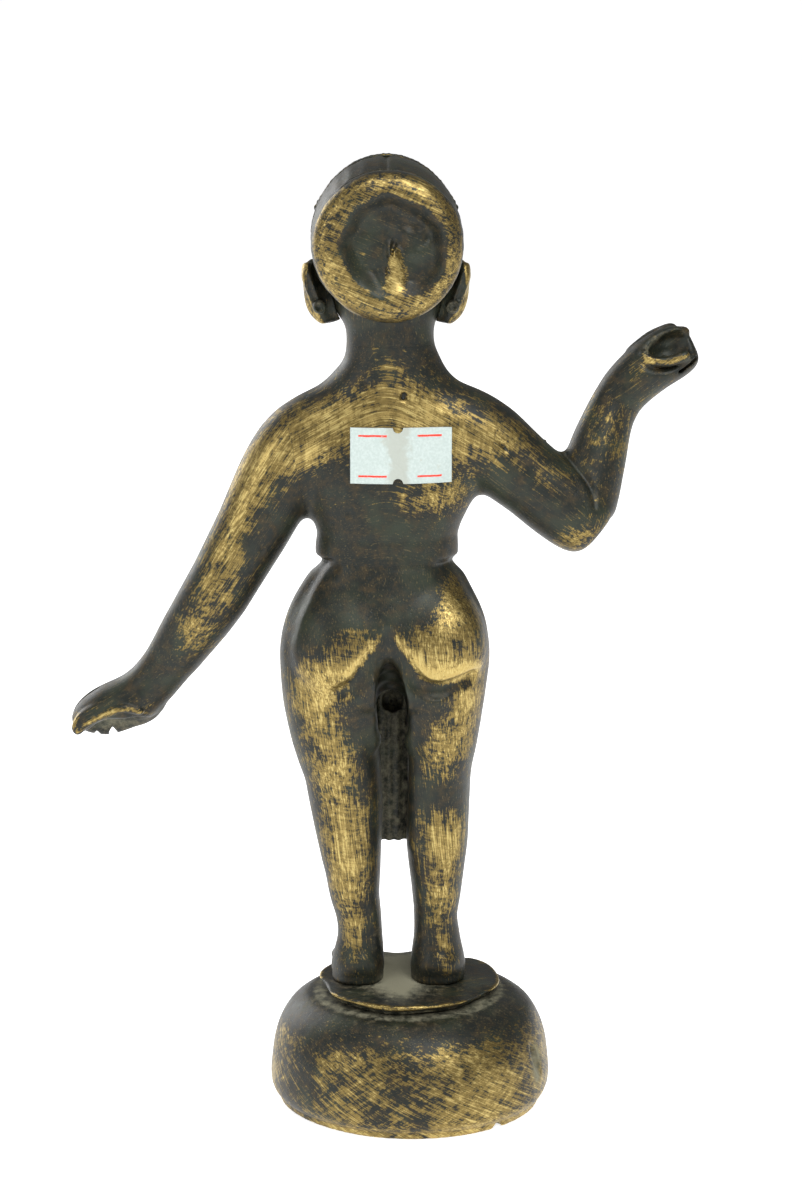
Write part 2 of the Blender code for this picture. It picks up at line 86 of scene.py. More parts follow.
def flat_faces(node, least_area=30.0):
    """The node's flat faces as (centre, normal, area) in figure millimetres, from its triangles."""
    mesh = NODES[node].data
    groups = {}
    for face in mesh.polygons:
        normal = face.normal
        centre = np.array(face.center) / MM - FIGURE_ORIGIN
        key = (round(normal.x, 2), round(normal.y, 2), round(normal.z, 2),
               round(float(np.dot(centre, normal)), 1))
        area, weighted = groups.get(key, (0.0, np.zeros(3)))
        size = face.area / MM ** 2
        groups[key] = (area + size, weighted + centre * size)
    return [(weighted / area, np.array(key[:3]) / np.linalg.norm(key[:3]), area)
            for key, (area, weighted) in groups.items() if area > least_area]


def seam(near, beyond):
    """The plane between two castings: its centre and its normal, pointing to the second one."""
    pairs = []
    for centre, normal, area in flat_faces(near):
        for other, facing, other_area in flat_faces(beyond):
            apart = abs(np.dot(other - centre, normal))
            if np.dot(normal, facing) < -0.99 and apart < 1.0:
                pairs.append((area + other_area, (centre + other) / 2, normal))
    _, centre, normal = max(pairs, key=lambda pair: pair[0])
    return centre, normal


# ---------------------------------------------------------------- distance fields

class Shape:
    """A signed distance (inside is negative) with the box that it matters in."""

    def __init__(self, low, high, distance):
        self.low = np.asarray(low, float)
        self.high = np.asarray(high, float)
        self.distance = distance


def capsule(start, end, radius, end_radius=None):
    start = np.asarray(start, float)
    along = np.asarray(end, float) - start
    grow = (radius if end_radius is None else end_radius) - radius
    length = max(float(along @ along), 1e-9)

    def distance(x, y, z):
        dx, dy, dz = x - start[0], y - start[1], z - start[2]
        t = np.clip((dx * along[0] + dy * along[1] + dz * along[2]) / length, 0, 1)
        gap = (dx - t * along[0]) ** 2 + (dy - t * along[1]) ** 2 + (dz - t * along[2]) ** 2
        return np.sqrt(gap) - (radius + grow * t)

    reach = max(radius, radius + grow)
    return Shape(np.minimum(start, start + along) - reach, np.maximum(start, start + along) + reach,
                 distance)


def ellipsoid(centre, radii, turn=(0, 0, 0)):
    """An ellipsoid turned by degrees about X, Y and Z."""
    centre = np.asarray(centre, float)
    radii = np.asarray(radii, float)
    axes = Matrix.Identity(3)
    for name, angle in zip("XYZ", turn):
        axes = Matrix.Rotation(math.radians(angle), 3, name) @ axes
    axes = np.array(axes)

    def distance(x, y, z):
        offset = (x - centre[0], y - centre[1], z - centre[2])
        near, far = 0.0, 0.0
        for i in range(3):
            along = sum(axes[k, i] * offset[k] for k in range(3)) / radii[i]
            near = near + along ** 2
            far = far + (along / radii[i]) ** 2
        near = np.sqrt(near)
        return near * (near - 1) / np.maximum(np.sqrt(far), 1e-6)

    reach = radii.max()
    return Shape(centre - reach, centre + reach, distance)


def smoothstep(value):
    value = np.clip(value, 0, 1)
    return value * value * (3 - 2 * value)


def smooth_min(a, b, blend):
    if blend <= 0:
        return np.minimum(a, b)
    overlap = np.maximum(blend - np.abs(a - b), 0) / blend
    return np.minimum(a, b) - overlap ** 2 * blend / 4


class Field:
    """A signed distance field on a regular grid."""

    def __init__(self, low, high, step):
        self.low = np.asarray(low, float)
        self.step = step
        self.count = np.ceil((np.asarray(high, float) - self.low) / step).astype(int) + 1
        self.values = np.full(self.count, 5.0, np.float32)

    def line(self, axis, start=0, end=None):
        end = self.count[axis] if end is None else end
        return self.low[axis] + self.step * np.arange(start, end)

    def window(self, low, high):
        start = np.clip(np.floor((low - self.low) / self.step).astype(int), 0, self.count)
        end = np.clip(np.ceil((high - self.low) / self.step).astype(int) + 1, 0, self.count)
        where = tuple(slice(a, b) for a, b in zip(start, end))
        x = self.line(0, start[0], end[0])[:, None, None]
        y = self.line(1, start[1], end[1])[None, :, None]
        z = self.line(2, start[2], end[2])[None, None, :]
        return where, x, y, z

    def join(self, shape, blend=0.0):
        where, x, y, z = self.window(shape.low - 2 - blend, shape.high + 2 + blend)
        if self.values[where].size:
            self.values[where] = smooth_min(self.values[where], shape.distance(x, y, z), blend)

    def cut(self, shape, blend=0.0):
        where, x, y, z = self.window(shape.low - 1 - blend, shape.high + 1 + blend)
        if self.values[where].size:
            inside = -shape.distance(x, y, z)
            self.values[where] = -smooth_min(-self.values[where], -inside, blend)

    def press(self, low, high, depth):
        """Move the surface inwards by depth(x, y, z) millimetres, or outwards where it is negative."""
        where, x, y, z = self.window(np.asarray(low, float), np.asarray(high, float))
        if self.values[where].size:
            self.values[where] += depth(x, y, z)


def chain(field, points, radii, blend=0.0, cut=False):
    """Join (or cut) a string of capsules along the points."""
    if np.isscalar(radii):
        radii = [radii] * len(points)
    act = field.cut if cut else field.join
    for i in range(len(points) - 1):
        act(capsule(points[i], points[i + 1], radii[i], radii[i + 1]), blend)


def smooth_curve(points, between=6):
    """Points on a Catmull-Rom curve through the given ones."""
    points = [np.asarray(p, float) for p in points]
    last = len(points) - 1
    result = []
    for i in range(last):
        a, b = points[max(i - 1, 0)], points[i]
        c, d = points[i + 1], points[min(i + 2, last)]
        for t in np.arange(between) / between:
            result.append(0.5 * (2 * b + (c - a) * t + (2 * a - 5 * b + 4 * c - d) * t ** 2
                                 + (3 * b - a - 3 * c + d) * t ** 3))
    result.append(points[last])
    return result


def temporary(name, bm):
    mesh = bpy.data.meshes.new(name)
    bm.to_mesh(mesh)
    bm.free()
    item = bpy.data.objects.new(name, mesh)
    bpy.context.scene.collection.objects.link(item)
    return item


def search_tree(nodes, swell, voxel=0.8):
    """A search tree over the nodes' surfaces, swollen and melted into one if swell isn't 0."""
    bm = bmesh.new()
    for node in nodes:
        bm.from_mesh(NODES[node].data)
    bmesh.ops.remove_doubles(bm, verts=bm.verts, dist=1e-6)
    form = temporary("form", bm)
    if swell:
        grow = form.modifiers.new("swell", "DISPLACE")
        grow.strength = swell * MM
        grow.mid_level = 0.0
        melt = form.modifiers.new("melt", "REMESH")
        melt.mode = "VOXEL"
        melt.voxel_size = voxel * MM
    tree = BVHTree.FromObject(form, bpy.context.evaluated_depsgraph_get())
    bpy.data.objects.remove(form, do_unlink=True)
    return tree


def sampled(tree, low, high, pitch):
    """Signed distances from the tree's surface on a coarse grid, in millimetres."""
    lines = [np.arange(a, b + pitch, pitch) for a, b in zip(low, high)]
    values = np.empty([len(line) for line in lines], np.float32)
    nearest = tree.find_nearest
    for i, x in enumerate(lines[0]):
        for j, y in enumerate(lines[1]):
            for k, z in enumerate(lines[2]):
                point = Vector(((x + FIGURE_X) * MM, y * MM, z * MM))
                hit, normal, _, distance = nearest(point)
                sign = 1.0 if (point - hit).dot(normal) > 0 else -1.0
                values[i, j, k] = sign * distance / MM
    return lines, values


def spline_weights(positions, line):
    """The matrix that turns samples on a line into cubic B-spline values at the positions."""
    place = (positions - line[0]) / (line[1] - line[0])
    base = np.clip(np.floor(place).astype(int), 1, len(line) - 3)
    t = np.clip(place - base, 0, 1)
    weights = ((1 - t) ** 3, 3 * t ** 3 - 6 * t ** 2 + 4, -3 * t ** 3 + 3 * t ** 2 + 3 * t + 1, t ** 3)
    matrix = np.zeros((len(positions), len(line)), np.float32)
    for k, weight in enumerate(weights):
        matrix[np.arange(len(positions)), base - 1 + k] = weight / 6
    return matrix


class Form:
    """Large forms sampled once from the frame, from which finer fields are read."""

    def __init__(self, nodes, pitch=FIELD_PITCH, margin=4.0):
        self.margin = margin
        self.swell = SWELL if len(nodes) > 1 else 0.0
        self.tree = search_tree(nodes, self.swell)
        boxes = [figure_box(node) for node in nodes]
        low = np.min([b[0] for b in boxes], axis=0) - margin
        high = np.max([b[1] for b in boxes], axis=0) + margin
        self.lines, self.samples = sampled(self.tree, low, high, pitch)

    def values_on(self, field):
        """The form's distances at the grid points of a field."""
        values = self.samples
        for axis in range(3):
            weights = spline_weights(field.line(axis), self.lines[axis])
            values = np.moveaxis(np.tensordot(weights, values, (1, axis)), 0, axis)
        return values.astype(np.float32) + self.swell

    def field(self, low, high, step):
        result = Field(low, high, step)
        result.values = self.values_on(result)
        return result

    def hit(self, start, direction):
        """Where a ray from a point meets the surface in figure millimetres, or None."""
        origin = Vector((np.asarray(start, float) + FIGURE_ORIGIN) * MM)
        found = self.tree.ray_cast(origin, Vector(direction))[0]
        return None if found is None else np.array(found) / MM - FIGURE_ORIGIN

    def on_surface(self, x, z, side, depth=0.0):
        """The surface point at x, z seen from the front (side -1) or the back (side +1)."""
        start = Vector(((x + FIGURE_X) * MM, side * 0.08, z * MM))
        hit = self.tree.ray_cast(start, Vector((0, -side, 0)))[0]
        y = hit.y / MM if hit else 0.0
        return np.array([x, y - side * (self.swell + depth), z])

    def line_on(self, points, side, depth=0.0, between=5):
        """A smooth line through (x, z) points, laid on the surface."""
        flat = smooth_curve([(x, z) for x, z in points], between)
        return [self.on_surface(x, z, side, depth) for x, z in flat]


# ---------------------------------------------------------------- meshing

CORNERS = [(i, j, k) for i in (0, 1) for j in (0, 1) for k in (0, 1)]
EDGES = [(a, b) for a in range(8) for b in range(a + 1, 8)
         if sum(p != q for p, q in zip(CORNERS[a], CORNERS[b])) == 1]


def surface_net(field):
    """Vertices and quads of the field's zero surface."""
    values = field.values
    inside = values < 0
    cells_per_axis = np.array(values.shape) - 1
    filled = np.zeros(cells_per_axis, np.uint8)
    for i, j, k in CORNERS:
        filled += inside[i:cells_per_axis[0] + i, j:cells_per_axis[1] + j, k:cells_per_axis[2] + k]
    cells = np.argwhere((filled > 0) & (filled < 8))
    corner = np.stack([values[tuple((cells + c).T)] for c in CORNERS], axis=1)
    total = np.zeros((len(cells), 3))
    hits = np.zeros(len(cells))
    for a, b in EDGES:
        crossing = (corner[:, a] < 0) != (corner[:, b] < 0)
        span = np.where(crossing, corner[:, a] - corner[:, b], 1.0)
        t = np.where(crossing, corner[:, a] / span, 0.0)
        start, end = np.array(CORNERS[a]), np.array(CORNERS[b])
        total += (start + t[:, None] * (end - start)) * crossing[:, None]
        hits += crossing
    points = field.low + field.step * (cells + total / hits[:, None])
    number = np.full(cells_per_axis, -1, np.int64)
    number[tuple(cells.T)] = np.arange(len(cells))
    quads = []
    for axis in range(3):
        u, v = np.eye(3, dtype=int)[(axis + 1) % 3], np.eye(3, dtype=int)[(axis + 2) % 3]
        first = [slice(None)] * 3
        second = [slice(None)] * 3
        first[axis], second[axis] = slice(None, -1), slice(1, None)
        start = inside[tuple(first)]
        edges = np.argwhere(start != inside[tuple(second)])
        room = np.all((edges >= u + v) & (edges < cells_per_axis), axis=1)
        edges = edges[room]
        ring = np.stack([number[tuple((edges - s).T)] for s in (u + v, v, 0 * u, u)], axis=1)
        leaving = start[tuple(edges.T)]
        quads.append(np.where(leaving[:, None], ring, ring[:, ::-1]))
    return points, np.concatenate(quads)


def edge_pairs(quads):
    pairs = np.concatenate([quads[:, [i, (i + 1) % 4]] for i in range(4)])
    pairs.sort(axis=1)
    return np.unique(pairs, axis=0)


def averaged(values, pairs, count):
    """Each vertex's values averaged over its neighbours."""
    total = np.zeros((count,) + values.shape[1:])
    degree = np.bincount(pairs.ravel(), minlength=count)
    for a, b in ((0, 1), (1, 0)):
        if values.ndim == 1:
            total += np.bincount(pairs[:, a], values[pairs[:, b]], count)
        else:
            for c in range(values.shape[1]):
                total[:, c] += np.bincount(pairs[:, a], values[pairs[:, b], c], count)
    degree = np.maximum(degree, 1)
    return total / (degree if values.ndim == 1 else degree[:, None])


def vertex_normals(points, quads):
    a, b, c, d = (points[quads[:, i]] for i in range(4))
    face = np.cross(c - a, d - b)
    normal = np.zeros_like(points)
    for corner in range(4):
        for axis in range(3):
            normal[:, axis] += np.bincount(quads[:, corner], face[:, axis], len(points))
    return normal / np.maximum(np.linalg.norm(normal, axis=1, keepdims=True), 1e-9)


def convexity(points, quads, pairs, rounds=5):
    """How far each vertex stands out of its surroundings: positive on ridges, negative in hollows."""
    normal = vertex_normals(points, quads)
    spread = points.copy()
    for _ in range(rounds):
        spread = averaged(spread, pairs, len(points))
    return np.einsum("ij,ij->i", points - spread, normal), normal


def mesh_of(name, points, quads):
    """A Blender object from figure-millimetre points."""
    mesh = bpy.data.meshes.new(name)
    mesh.vertices.add(len(points))
    mesh.vertices.foreach_set("co", ((points + FIGURE_ORIGIN) * MM).astype(np.float32).ravel())
    mesh.loops.add(quads.size)
    mesh.loops.foreach_set("vertex_index", quads.astype(np.int32).ravel())
    mesh.polygons.add(len(quads))
    mesh.polygons.foreach_set("loop_start", np.arange(0, quads.size, 4, dtype=np.int32))
    mesh.update(calc_edges=True)
    mesh.validate()
    mesh.shade_smooth()
    item = bpy.data.objects.new(name, mesh)
    bpy.context.scene.collection.objects.link(item)
    return item


def store(mesh, name, values):
    attribute = mesh.attributes.new(name, "FLOAT", "POINT")
    attribute.data.foreach_set("value", np.asarray(values, np.float32))


def meshed(name, field, paint, smoothing=2):
    """The field's surface as an object, with the paint function's values on its vertices."""
    points, quads = surface_net(field)
    pairs = edge_pairs(quads)
    for _ in range(smoothing):
        points = 0.5 * points + 0.5 * averaged(points, pairs, len(points))
    rounds = max(3, round(3.0 / field.step))
    ridge, normal = convexity(points, quads, pairs, rounds)
    item = mesh_of(name, points, quads)
    for key, values in paint(points, normal, ridge).items():
        store(item.data, key, values)
    return item


def cut_at(bm, plane, reach, gap=0.03):
    """Open the mesh along a seam: a thin band round the seam's plane is cut out of it."""
    centre, normal = plane
    middle = Vector((centre + FIGURE_ORIGIN) * MM)
    direction = Vector(normal)
    for side in (-1, 1):
        near = [f for f in bm.faces if (f.calc_center_median() - middle).length < reach * MM]
        geometry = set(near)
        for face in near:
            geometry.update(face.verts)
            geometry.update(face.edges)
        bmesh.ops.bisect_plane(bm, geom=list(geometry), dist=1e-8,
                               plane_co=middle + direction * side * gap / 2 * MM,
                               plane_no=direction)
    band = [f for f in bm.faces
            if abs((f.calc_center_median() - middle).dot(direction)) < gap / 2 * MM
            and (f.calc_center_median() - middle).length < reach * MM]
    bmesh.ops.delete(bm, geom=band, context="FACES")


def separated(item, planes):
    """Cut an object at the seams, close the cuts, and return its connected pieces."""
    bm = bmesh.new()
    bm.from_mesh(item.data)
    for plane, reach in planes:
        cut_at(bm, plane, reach)
    loose = [v for v in bm.verts if not v.link_faces]
    bmesh.ops.delete(bm, geom=loose, context="VERTS")
    rims = [e for e in bm.edges if e.is_boundary]
    bmesh.ops.holes_fill(bm, edges=rims)
    for rim in rims:
        rim.smooth = False
    bm.to_mesh(item.data)
    bm.free()
    bpy.ops.object.select_all(action="DESELECT")
    bpy.context.view_layer.objects.active = item
    item.select_set(True)
    bpy.ops.object.mode_set(mode="EDIT")
    bpy.ops.mesh.select_all(action="SELECT")
    bpy.ops.mesh.separate(type="LOOSE")
    bpy.ops.object.mode_set(mode="OBJECT")
    return list(bpy.context.selected_objects)


def middle_of(item):
    co = np.empty(len(item.data.vertices) * 3)
    item.data.vertices.foreach_get("co", co)
    co = co.reshape(-1, 3) / MM - FIGURE_ORIGIN
    return (co.min(0) + co.max(0)) / 2


def name_pieces(pieces, wanted):
    """Keep the pieces that stand for the wanted nodes, named after them, and drop the rest."""
    kept = {}
    for piece in sorted(pieces, key=lambda p: -len(p.data.vertices)):
        middle = middle_of(piece)
        nearest = min(CASTINGS, key=lambda n: np.linalg.norm(sum(figure_box(n)) / 2 - middle))
        if nearest in wanted and nearest not in kept:
            piece.name = f"{nearest}_casting"
            kept[nearest] = piece
        else:
            bpy.data.objects.remove(piece, do_unlink=True)
    missing = set(wanted) - set(kept)
    if missing:
        raise RuntimeError(f"no mesh was found for {sorted(missing)}")
    return kept


# Pitch, amount and seed of the unevenness in the cast surfaces
BROAD_WAVES = (7.0, 0.16, 3)
FINE_WAVES = (2.6, 0.05, 4)
TRIM_WAVES = (2.6, 0.06, 4)


def roughen(field, pitch, amount, seed):
    """Uneven the surface with smooth noise whose lumps are about pitch across.

    The noise is the same in every field, so that neighbouring castings meet without a step.
    """
    lines = [np.arange(low, high, pitch) for low, high in ((-80, 80), (-45, 45), (-12, 225))]
    noise = np.random.default_rng(seed).uniform(-1, 1, [len(line) for line in lines])
    for axis in range(3):
        weights = spline_weights(field.line(axis), lines[axis])
        noise = np.moveaxis(np.tensordot(weights, noise, (1, axis)), 0, axis)
    field.values += (noise * 2 * amount).astype(np.float32)


def keep_above(field, height):
    z = field.line(2)[None, None, :]
    field.values = np.maximum(field.values, height - z)


def carry_down(field, height):
    """Below the height, repeat the section found there."""
    level = int(np.argmin(np.abs(field.line(2) - height)))
    field.values[:, :, :level] = field.values[:, :, level][:, :, None]


# ---------------------------------------------------------------- paint

def lines_near(points, table, front=0.0):
    """The sum of soft lines seen from behind: ((x, z) points, half width, amount)."""
    total = np.zeros(len(points))
    behind = smoothstep((points[:, 1] - front) / 4.0)
    for line, half_width, amount in table:
        line = np.array(line, float)
        nearest = np.full(len(points), 1e6)
        for start, end in zip(line[:-1], line[1:]):
            along = end - start
            offset = points[:, [0, 2]] - start
            t = np.clip(offset @ along / (along @ along), 0, 1)
            nearest = np.minimum(nearest, ((offset - t[:, None] * along) ** 2).sum(axis=1))
        total += amount * np.exp(-nearest / half_width ** 2) * behind
    return total


def spots(points, table):
    """The sum of soft ellipsoidal spots: (centre, radii, amount)."""
    total = np.zeros(len(points))
    for centre, radii, amount in table:
        near = (((points - np.array(centre)) / np.array(radii)) ** 2).sum(axis=1)
        total += amount * np.exp(-near)
    return total


# Where handling has worn the patina through at the back, with one painted sheen on the right forearm:
# centre, radii and amount
WORN_BACK_AND_SHEEN = [
    # neck and shoulders
    ((-1.9, 9, 161.0), (6, 6, 4), 0.2), ((13.0, 8, 149.0), (12, 9, 6), 0.9),
    ((-3.0, 9, 152.5), (11, 7, 6), 0.95), ((17.0, 8, 141.5), (8, 9, 5), 0.75),
    ((-15.0, 8, 147.0), (9, 8, 5.5), 0.62), ((-25.0, 6, 146.0), (7, 8, 5), 0.65),
    ((-14.5, 9, 140.0), (7, 8, 6), 0.3), ((-8.0, 10, 133.6), (8, 7, 4.6), 0.8),
    ((-16.8, 9, 130.5), (2.6, 6, 6), 0.45), ((12.0, 9, 132.8), (7, 7, 1.6), 0.4),
    # arms
    ((28.2, 7, 140.0), (5.5, 9, 9), 0.95), ((31.0, 6, 127.0), (4.6, 9, 8), 0.8),
    ((35.5, 6, 115.5), (4.6, 9, 9), 0.7), ((40.5, 5, 105.0), (3.6, 9, 6), 0.6),
    ((-33.0, 6, 138.5), (6, 8, 4), 0.45),
    # the first spot, on the right forearm, is partly wear and partly painted sheen: a broad glossy
    # highlight laid in as lighter metal
    ((-48.0, 1, 146.0), (7, 8, 14), 0.32), ((-39.7, 3, 124.8), (6, 8, 3.2), 0.9),
    # hips
    ((-14.6, 11, 108.0), (6.2, 8, 12.5), 0.88), ((-7.5, 12, 104.0), (5.4, 6, 5.5), 0.8),
    ((-12.6, 10, 116.0), (3.2, 8, 5), 0.45), ((-12.5, 14, 97.8), (8.5, 6, 3.2), 0.95),
    ((11.0, 12, 97.0), (8.5, 8, 6.0), 0.85), ((7.0, 12, 104.5), (6.5, 6, 4.2), 0.6),
    ((14.5, 11, 90.0), (6, 8, 7), 0.7),
    # left leg, from the thigh down
    ((10.5, 9, 76.0), (7.2, 8, 9), 0.82), ((8.6, 9, 61.0), (6.4, 8, 9), 0.88),
    ((8.4, 8, 49.0), (5.2, 7, 7.5), 0.72), ((7.2, 7, 38.5), (3.6, 6, 6), 0.55),
    # right leg
    ((-17.6, 8, 90.5), (3.6, 8, 6), 0.85), ((-12.4, 9, 82.0), (6.4, 7, 9.0), 0.8),
    ((-12.2, 8, 59.5), (5.8, 7, 8), 0.85), ((-12.3, 7, 46.0), (4.2, 6, 10), 0.62),
    ((-12.6, 7, 34.0), (3.2, 6, 6), 0.5),
]
# The same for the side that is turned away: shoulders, bust, knees and insteps
WORN_FRONT = [
    ((7.6, -14.5, 139.5), (6, 5, 6), 0.9), ((-8.2, -14.5, 139.5), (6, 5, 6), 0.9),
    ((0, -11, 124), (9, 5, 5), 0.6), ((11.5, -13, 95), (5, 5, 12), 0.8),
    ((-12.0, -13, 95), (5, 5, 12), 0.8), ((9.2, -10, 62), (4.4, 5, 10), 0.75),
    ((-11.5, -10, 62), (4.4, 5, 10), 0.75), ((6.8, -11, 31), (5, 6, 3), 0.75),
    ((-11.5, -11, 31), (5, 6, 3), 0.75), ((20, -7, 146), (8, 5, 6), 0.7),
    ((-21, -7, 146), (8, 5, 6), 0.7), ((34, -6, 116), (6, 5, 16), 0.6),
    ((-45, -8, 142), (4, 5, 10), 0.55), ((20, 0, 100), (5, 6, 12), 0.35),
    ((-21, 0, 100), (5, 6, 12), 0.35),
]
# Hollows that never get rubbed
DARK = [
    ((9.0, 9, 136.8), (9, 8, 3.6), 0.75), ((0.0, 9, 123.0), (16, 12, 6.5), 1.2),
    ((3.0, 10, 113.0), (10, 8, 6), 0.9), ((-7.4, 12, 113.6), (3.4, 6, 4.4), 1.0),
    ((15.5, 9, 107.5), (4, 8, 4.5), 0.6), ((28.8, 7, 124.4), (1.6, 7, 1.8), 1.2),
    ((25.4, 7, 128.5), (1.8, 7, 3.0), 0.7), ((-1.2, 6, 90), (4.2, 14, 12), 1.3),
    ((5.8, 8, 86.0), (2.8, 8, 6), 0.65), ((6.2, 8, 70.5), (2.4, 7, 3.0), 0.4),
    ((-9.0, 9, 89.5), (4.0, 7, 4.0), 0.5), ((-13.0, 8, 69.2), (6, 7, 2.0), 0.75),
    ((-30.5, 3, 128.5), (8, 8, 3.2), 0.5), ((-24, 5, 136), (5, 8, 4), 0.5),
]
# Dust that has stayed in the corners
DUSTY = [
    ((-2.0, 2, 27.0), (4.0, 12, 1.6), 0.7), ((-0.8, 1, 70), (3.2, 8, 18), 0.35),
    ((-1.0, 2, 36), (6, 5, 5), 0.3),
]


# Rubbed and sheltered lines along the edges of the seat
SEAT_LINES = [
    ([(1.4, 105.4), (4.4, 101.6), (8.2, 97.6)], 1.3, 0.75),
    ([(-2.2, 104.6), (-5.6, 100.4), (-8.6, 97.4), (-14.5, 97.2), (-19.0, 98.4)], 1.5, 0.75),
    ([(-2.8, 101.6), (-5.4, 97.6), (-7.4, 94.6), (-10.8, 93.4), (-17.0, 94.2)], 1.0, -0.9),
    ([(2.2, 101.2), (4.6, 97.4), (7.0, 94.4)], 1.4, -0.8),
    ([(-0.4, 104.0), (-0.6, 99.0)], 1.8, -1.0),
    ([(11.0, 118.0), (15.0, 112.0), (17.6, 107.0), (19.0, 101.0)], 1.2, -0.5),
]


def body_paint(points, normal, ridge):
    wear_and_sheen = spots(points, WORN_BACK_AND_SHEEN + WORN_FRONT) - spots(points, DARK)
    wear_and_sheen += lines_near(points, SEAT_LINES)
    return {"wear_and_sheen": wear_and_sheen, "ridge": ridge, "dust": spots(points, DUSTY)}


def even_paint(amount, dust=0.0):
    def paint(points, normal, ridge):
        even = np.ones(len(points))
        return {"wear_and_sheen": even * amount, "ridge": ridge, "dust": even * dust}
    return paint


# ---------------------------------------------------------------- body, arms and legs

# Each seam's plane, and how far from its centre the section reaches
SEAMS = {
    "waist": (seam("lower_body", "torso"), 19.0),
    "neck": (seam("torso", "head"), 13.0),
    "left_shoulder": (seam("torso", "left_arm"), 14.0),
    "left_wrist": (seam("left_arm", "left_hand"), 9.0),
    "right_shoulder": (seam("torso", "right_upper_arm"), 14.0),
    "elbow": (seam("right_upper_arm", "right_forearm"), 12.0),
    "right_wrist": (seam("right_forearm", "right_hand"), 9.0),
}
DISC_TOP = figure_box("plinth_step")[1][2]
# The inner side of the right thigh, and the hole that the casting left at the top of the gap
INNER_THIGH = capsule((-8.2, 4.5, 91.0), (-7.8, 3.0, 58.0), 3.2, 3.0)
THIGH_HOLE = capsule((-1.3, 6.0, 88.6), (-1.3, -8.0, 86.4), 2.5, 2.3)


def groove(field, points, radius, blend=0.3):
    chain(field, points, radius, blend, cut=True)


def ridge_line(field, points, radius, blend=0.4):
    chain(field, points, radius, blend)


def tapered(points, start, end):
    return list(np.linspace(start, end, len(points)))


def tapered_chain(field, points, start, end, blend, between=4):
    """Join a smooth string of capsules whose radius runs from start to end."""
    curve = smooth_curve(points, between)
    chain(field, curve, tapered(curve, start, end), blend)


# The skirt's back panel over each hip: side, step down to the side, heights and half widths there
SKIRT_EDGES = [
    (1, 0.7, (99, 103, 108.5, 113.5, 118, 121), (19.6, 19.0, 17.4, 15.0, 12.2, 9.8)),
    (-1, 0.6, (98, 106, 112, 118, 121), (20.6, 19.4, 17.2, 13.8, 12.0)),
]


def skirt_edges(field):
    """The edge of the skirt's back panel, from the waist over each hip: the side lies lower."""
    for side, step, heights, half_widths in SKIRT_EDGES:
        def depth(x, y, z):
            beyond = side * x - np.interp(z, heights, half_widths)
            across = smoothstep(beyond / 1.3) * smoothstep((5.5 - beyond) / 4.0)
            ends = smoothstep((z - heights[0]) / 8.0) * smoothstep((heights[-1] - z) / 1.0)
            return step * across * ends * smoothstep(y / 4.0)

        field.press((-26, 0, heights[0] - 2), (26, 18, heights[-1]), depth)


def waistband(field):
    """A flat band round the waist that stands out at the sides, above a narrow groove."""
    waist = SEAMS["waist"][0][0][2]

    def depth(x, y, z):
        sideways = smoothstep((np.abs(x) - 9.0) / 3.5)
        at_band = smoothstep((z - waist - 0.3) / 0.6) * smoothstep((waist + 8.0 - z) / 6.0)
        at_groove = np.exp(-((z - waist + 0.45) / 0.6) ** 2)
        corner = np.exp(-((z - waist + 1.3) / 1.5) ** 2)
        faint = np.exp(-((z - waist - 5.2) / 0.8) ** 2)
        return (0.4 * at_groove + 0.9 * corner - 0.4 * at_band) * sideways \
            + 0.14 * at_groove + 0.12 * faint

    field.press((-18, -14, waist - 4), (18, 14, waist + 9), depth)


BUTTOCKS = [
    ellipsoid((-11.6, 6.6, 103.8), (9.8, 8.4, 9.6)),
    ellipsoid((9.6, 6.4, 103.6), (9.4, 8.0, 9.8)),
]
# The hollow between the buttocks and the fold below each: (x, z) points, how deep the line lies,
# radius at each end, blend
SEAT_GROOVES = [
    ([(-0.3, 106.6), (-0.4, 103.6), (-0.6, 100.6), (-0.7, 98.0)], 1.0, (1.2, 3.6), 1.2),
    ([(-2.6, 102.6), (-5.0, 97.6), (-7.4, 94.7), (-10.6, 93.7), (-14.6, 94.4), (-18.2, 95.8)],
     1.1, (1.9, 1.7), 1.1),
    ([(1.8, 102.8), (4.2, 98.4), (6.6, 94.8), (10.0, 92.6)], 1.3, (1.9, 1.5), 1.3),
]
# The gap between the thighs, from the top down: height, x, radius and the y that it reaches
THIGH_GAP = [
    (99.8, -0.5, 0.5, 12.0), (98.0, -0.6, 1.2, 10.0), (95.8, -0.7, 2.2, 7.0),
    (93.0, -0.9, 3.0, 4.0), (90.0, -1.1, 3.4, 2.0), (87.0, -1.3, 3.3, 1.0), (84.0, -1.4, 3.2, 1.0),
]


def seat(field, form):
    """Buttocks, the grooves round them and the gap between the thighs."""
    for buttock in BUTTOCKS:
        field.join(buttock, 3.0)
    field.join(INNER_THIGH, 1.6)
    for x in (4.4, 7.4, -7.2, -10.2):
        high = form.on_surface(x, 96.5, 1, 3.1)
        low = form.on_surface(x, 81.0, 1, 3.3)
        field.join(capsule(high, low, 3.3), 1.5)
    for points, out, radii, blend in SEAT_GROOVES:
        line = form.line_on(points, 1, -out)
        groove(field, line, tapered(line, *radii), blend)
    for z, x, radius, reach in THIGH_GAP:
        field.cut(capsule((x, 18.0, z + 1.5), (x, reach, z), radius), 1.0)
    field.cut(THIGH_HOLE, 0.8)


LEG_SLIT = [(-18.0, 71.3), (-16.3, 70.9), (-14.6, 71.4)]
ELBOW_CREASE = [(-36.6, 142.9), (-40.0, 139.4), (-42.3, 136.5), (-43.4, 134.0), (-43.7, 131.5)]
PINHOLES = [
    (26.0, 122.4), (30.4, 127.0), (28.5, 119.5), (24.4, 130.5), (32.5, 116.0), (-10.0, 136.0),
    (8.0, 131.0), (-4.0, 122.5), (13.5, 104.0), (4.0, 158.0),
]


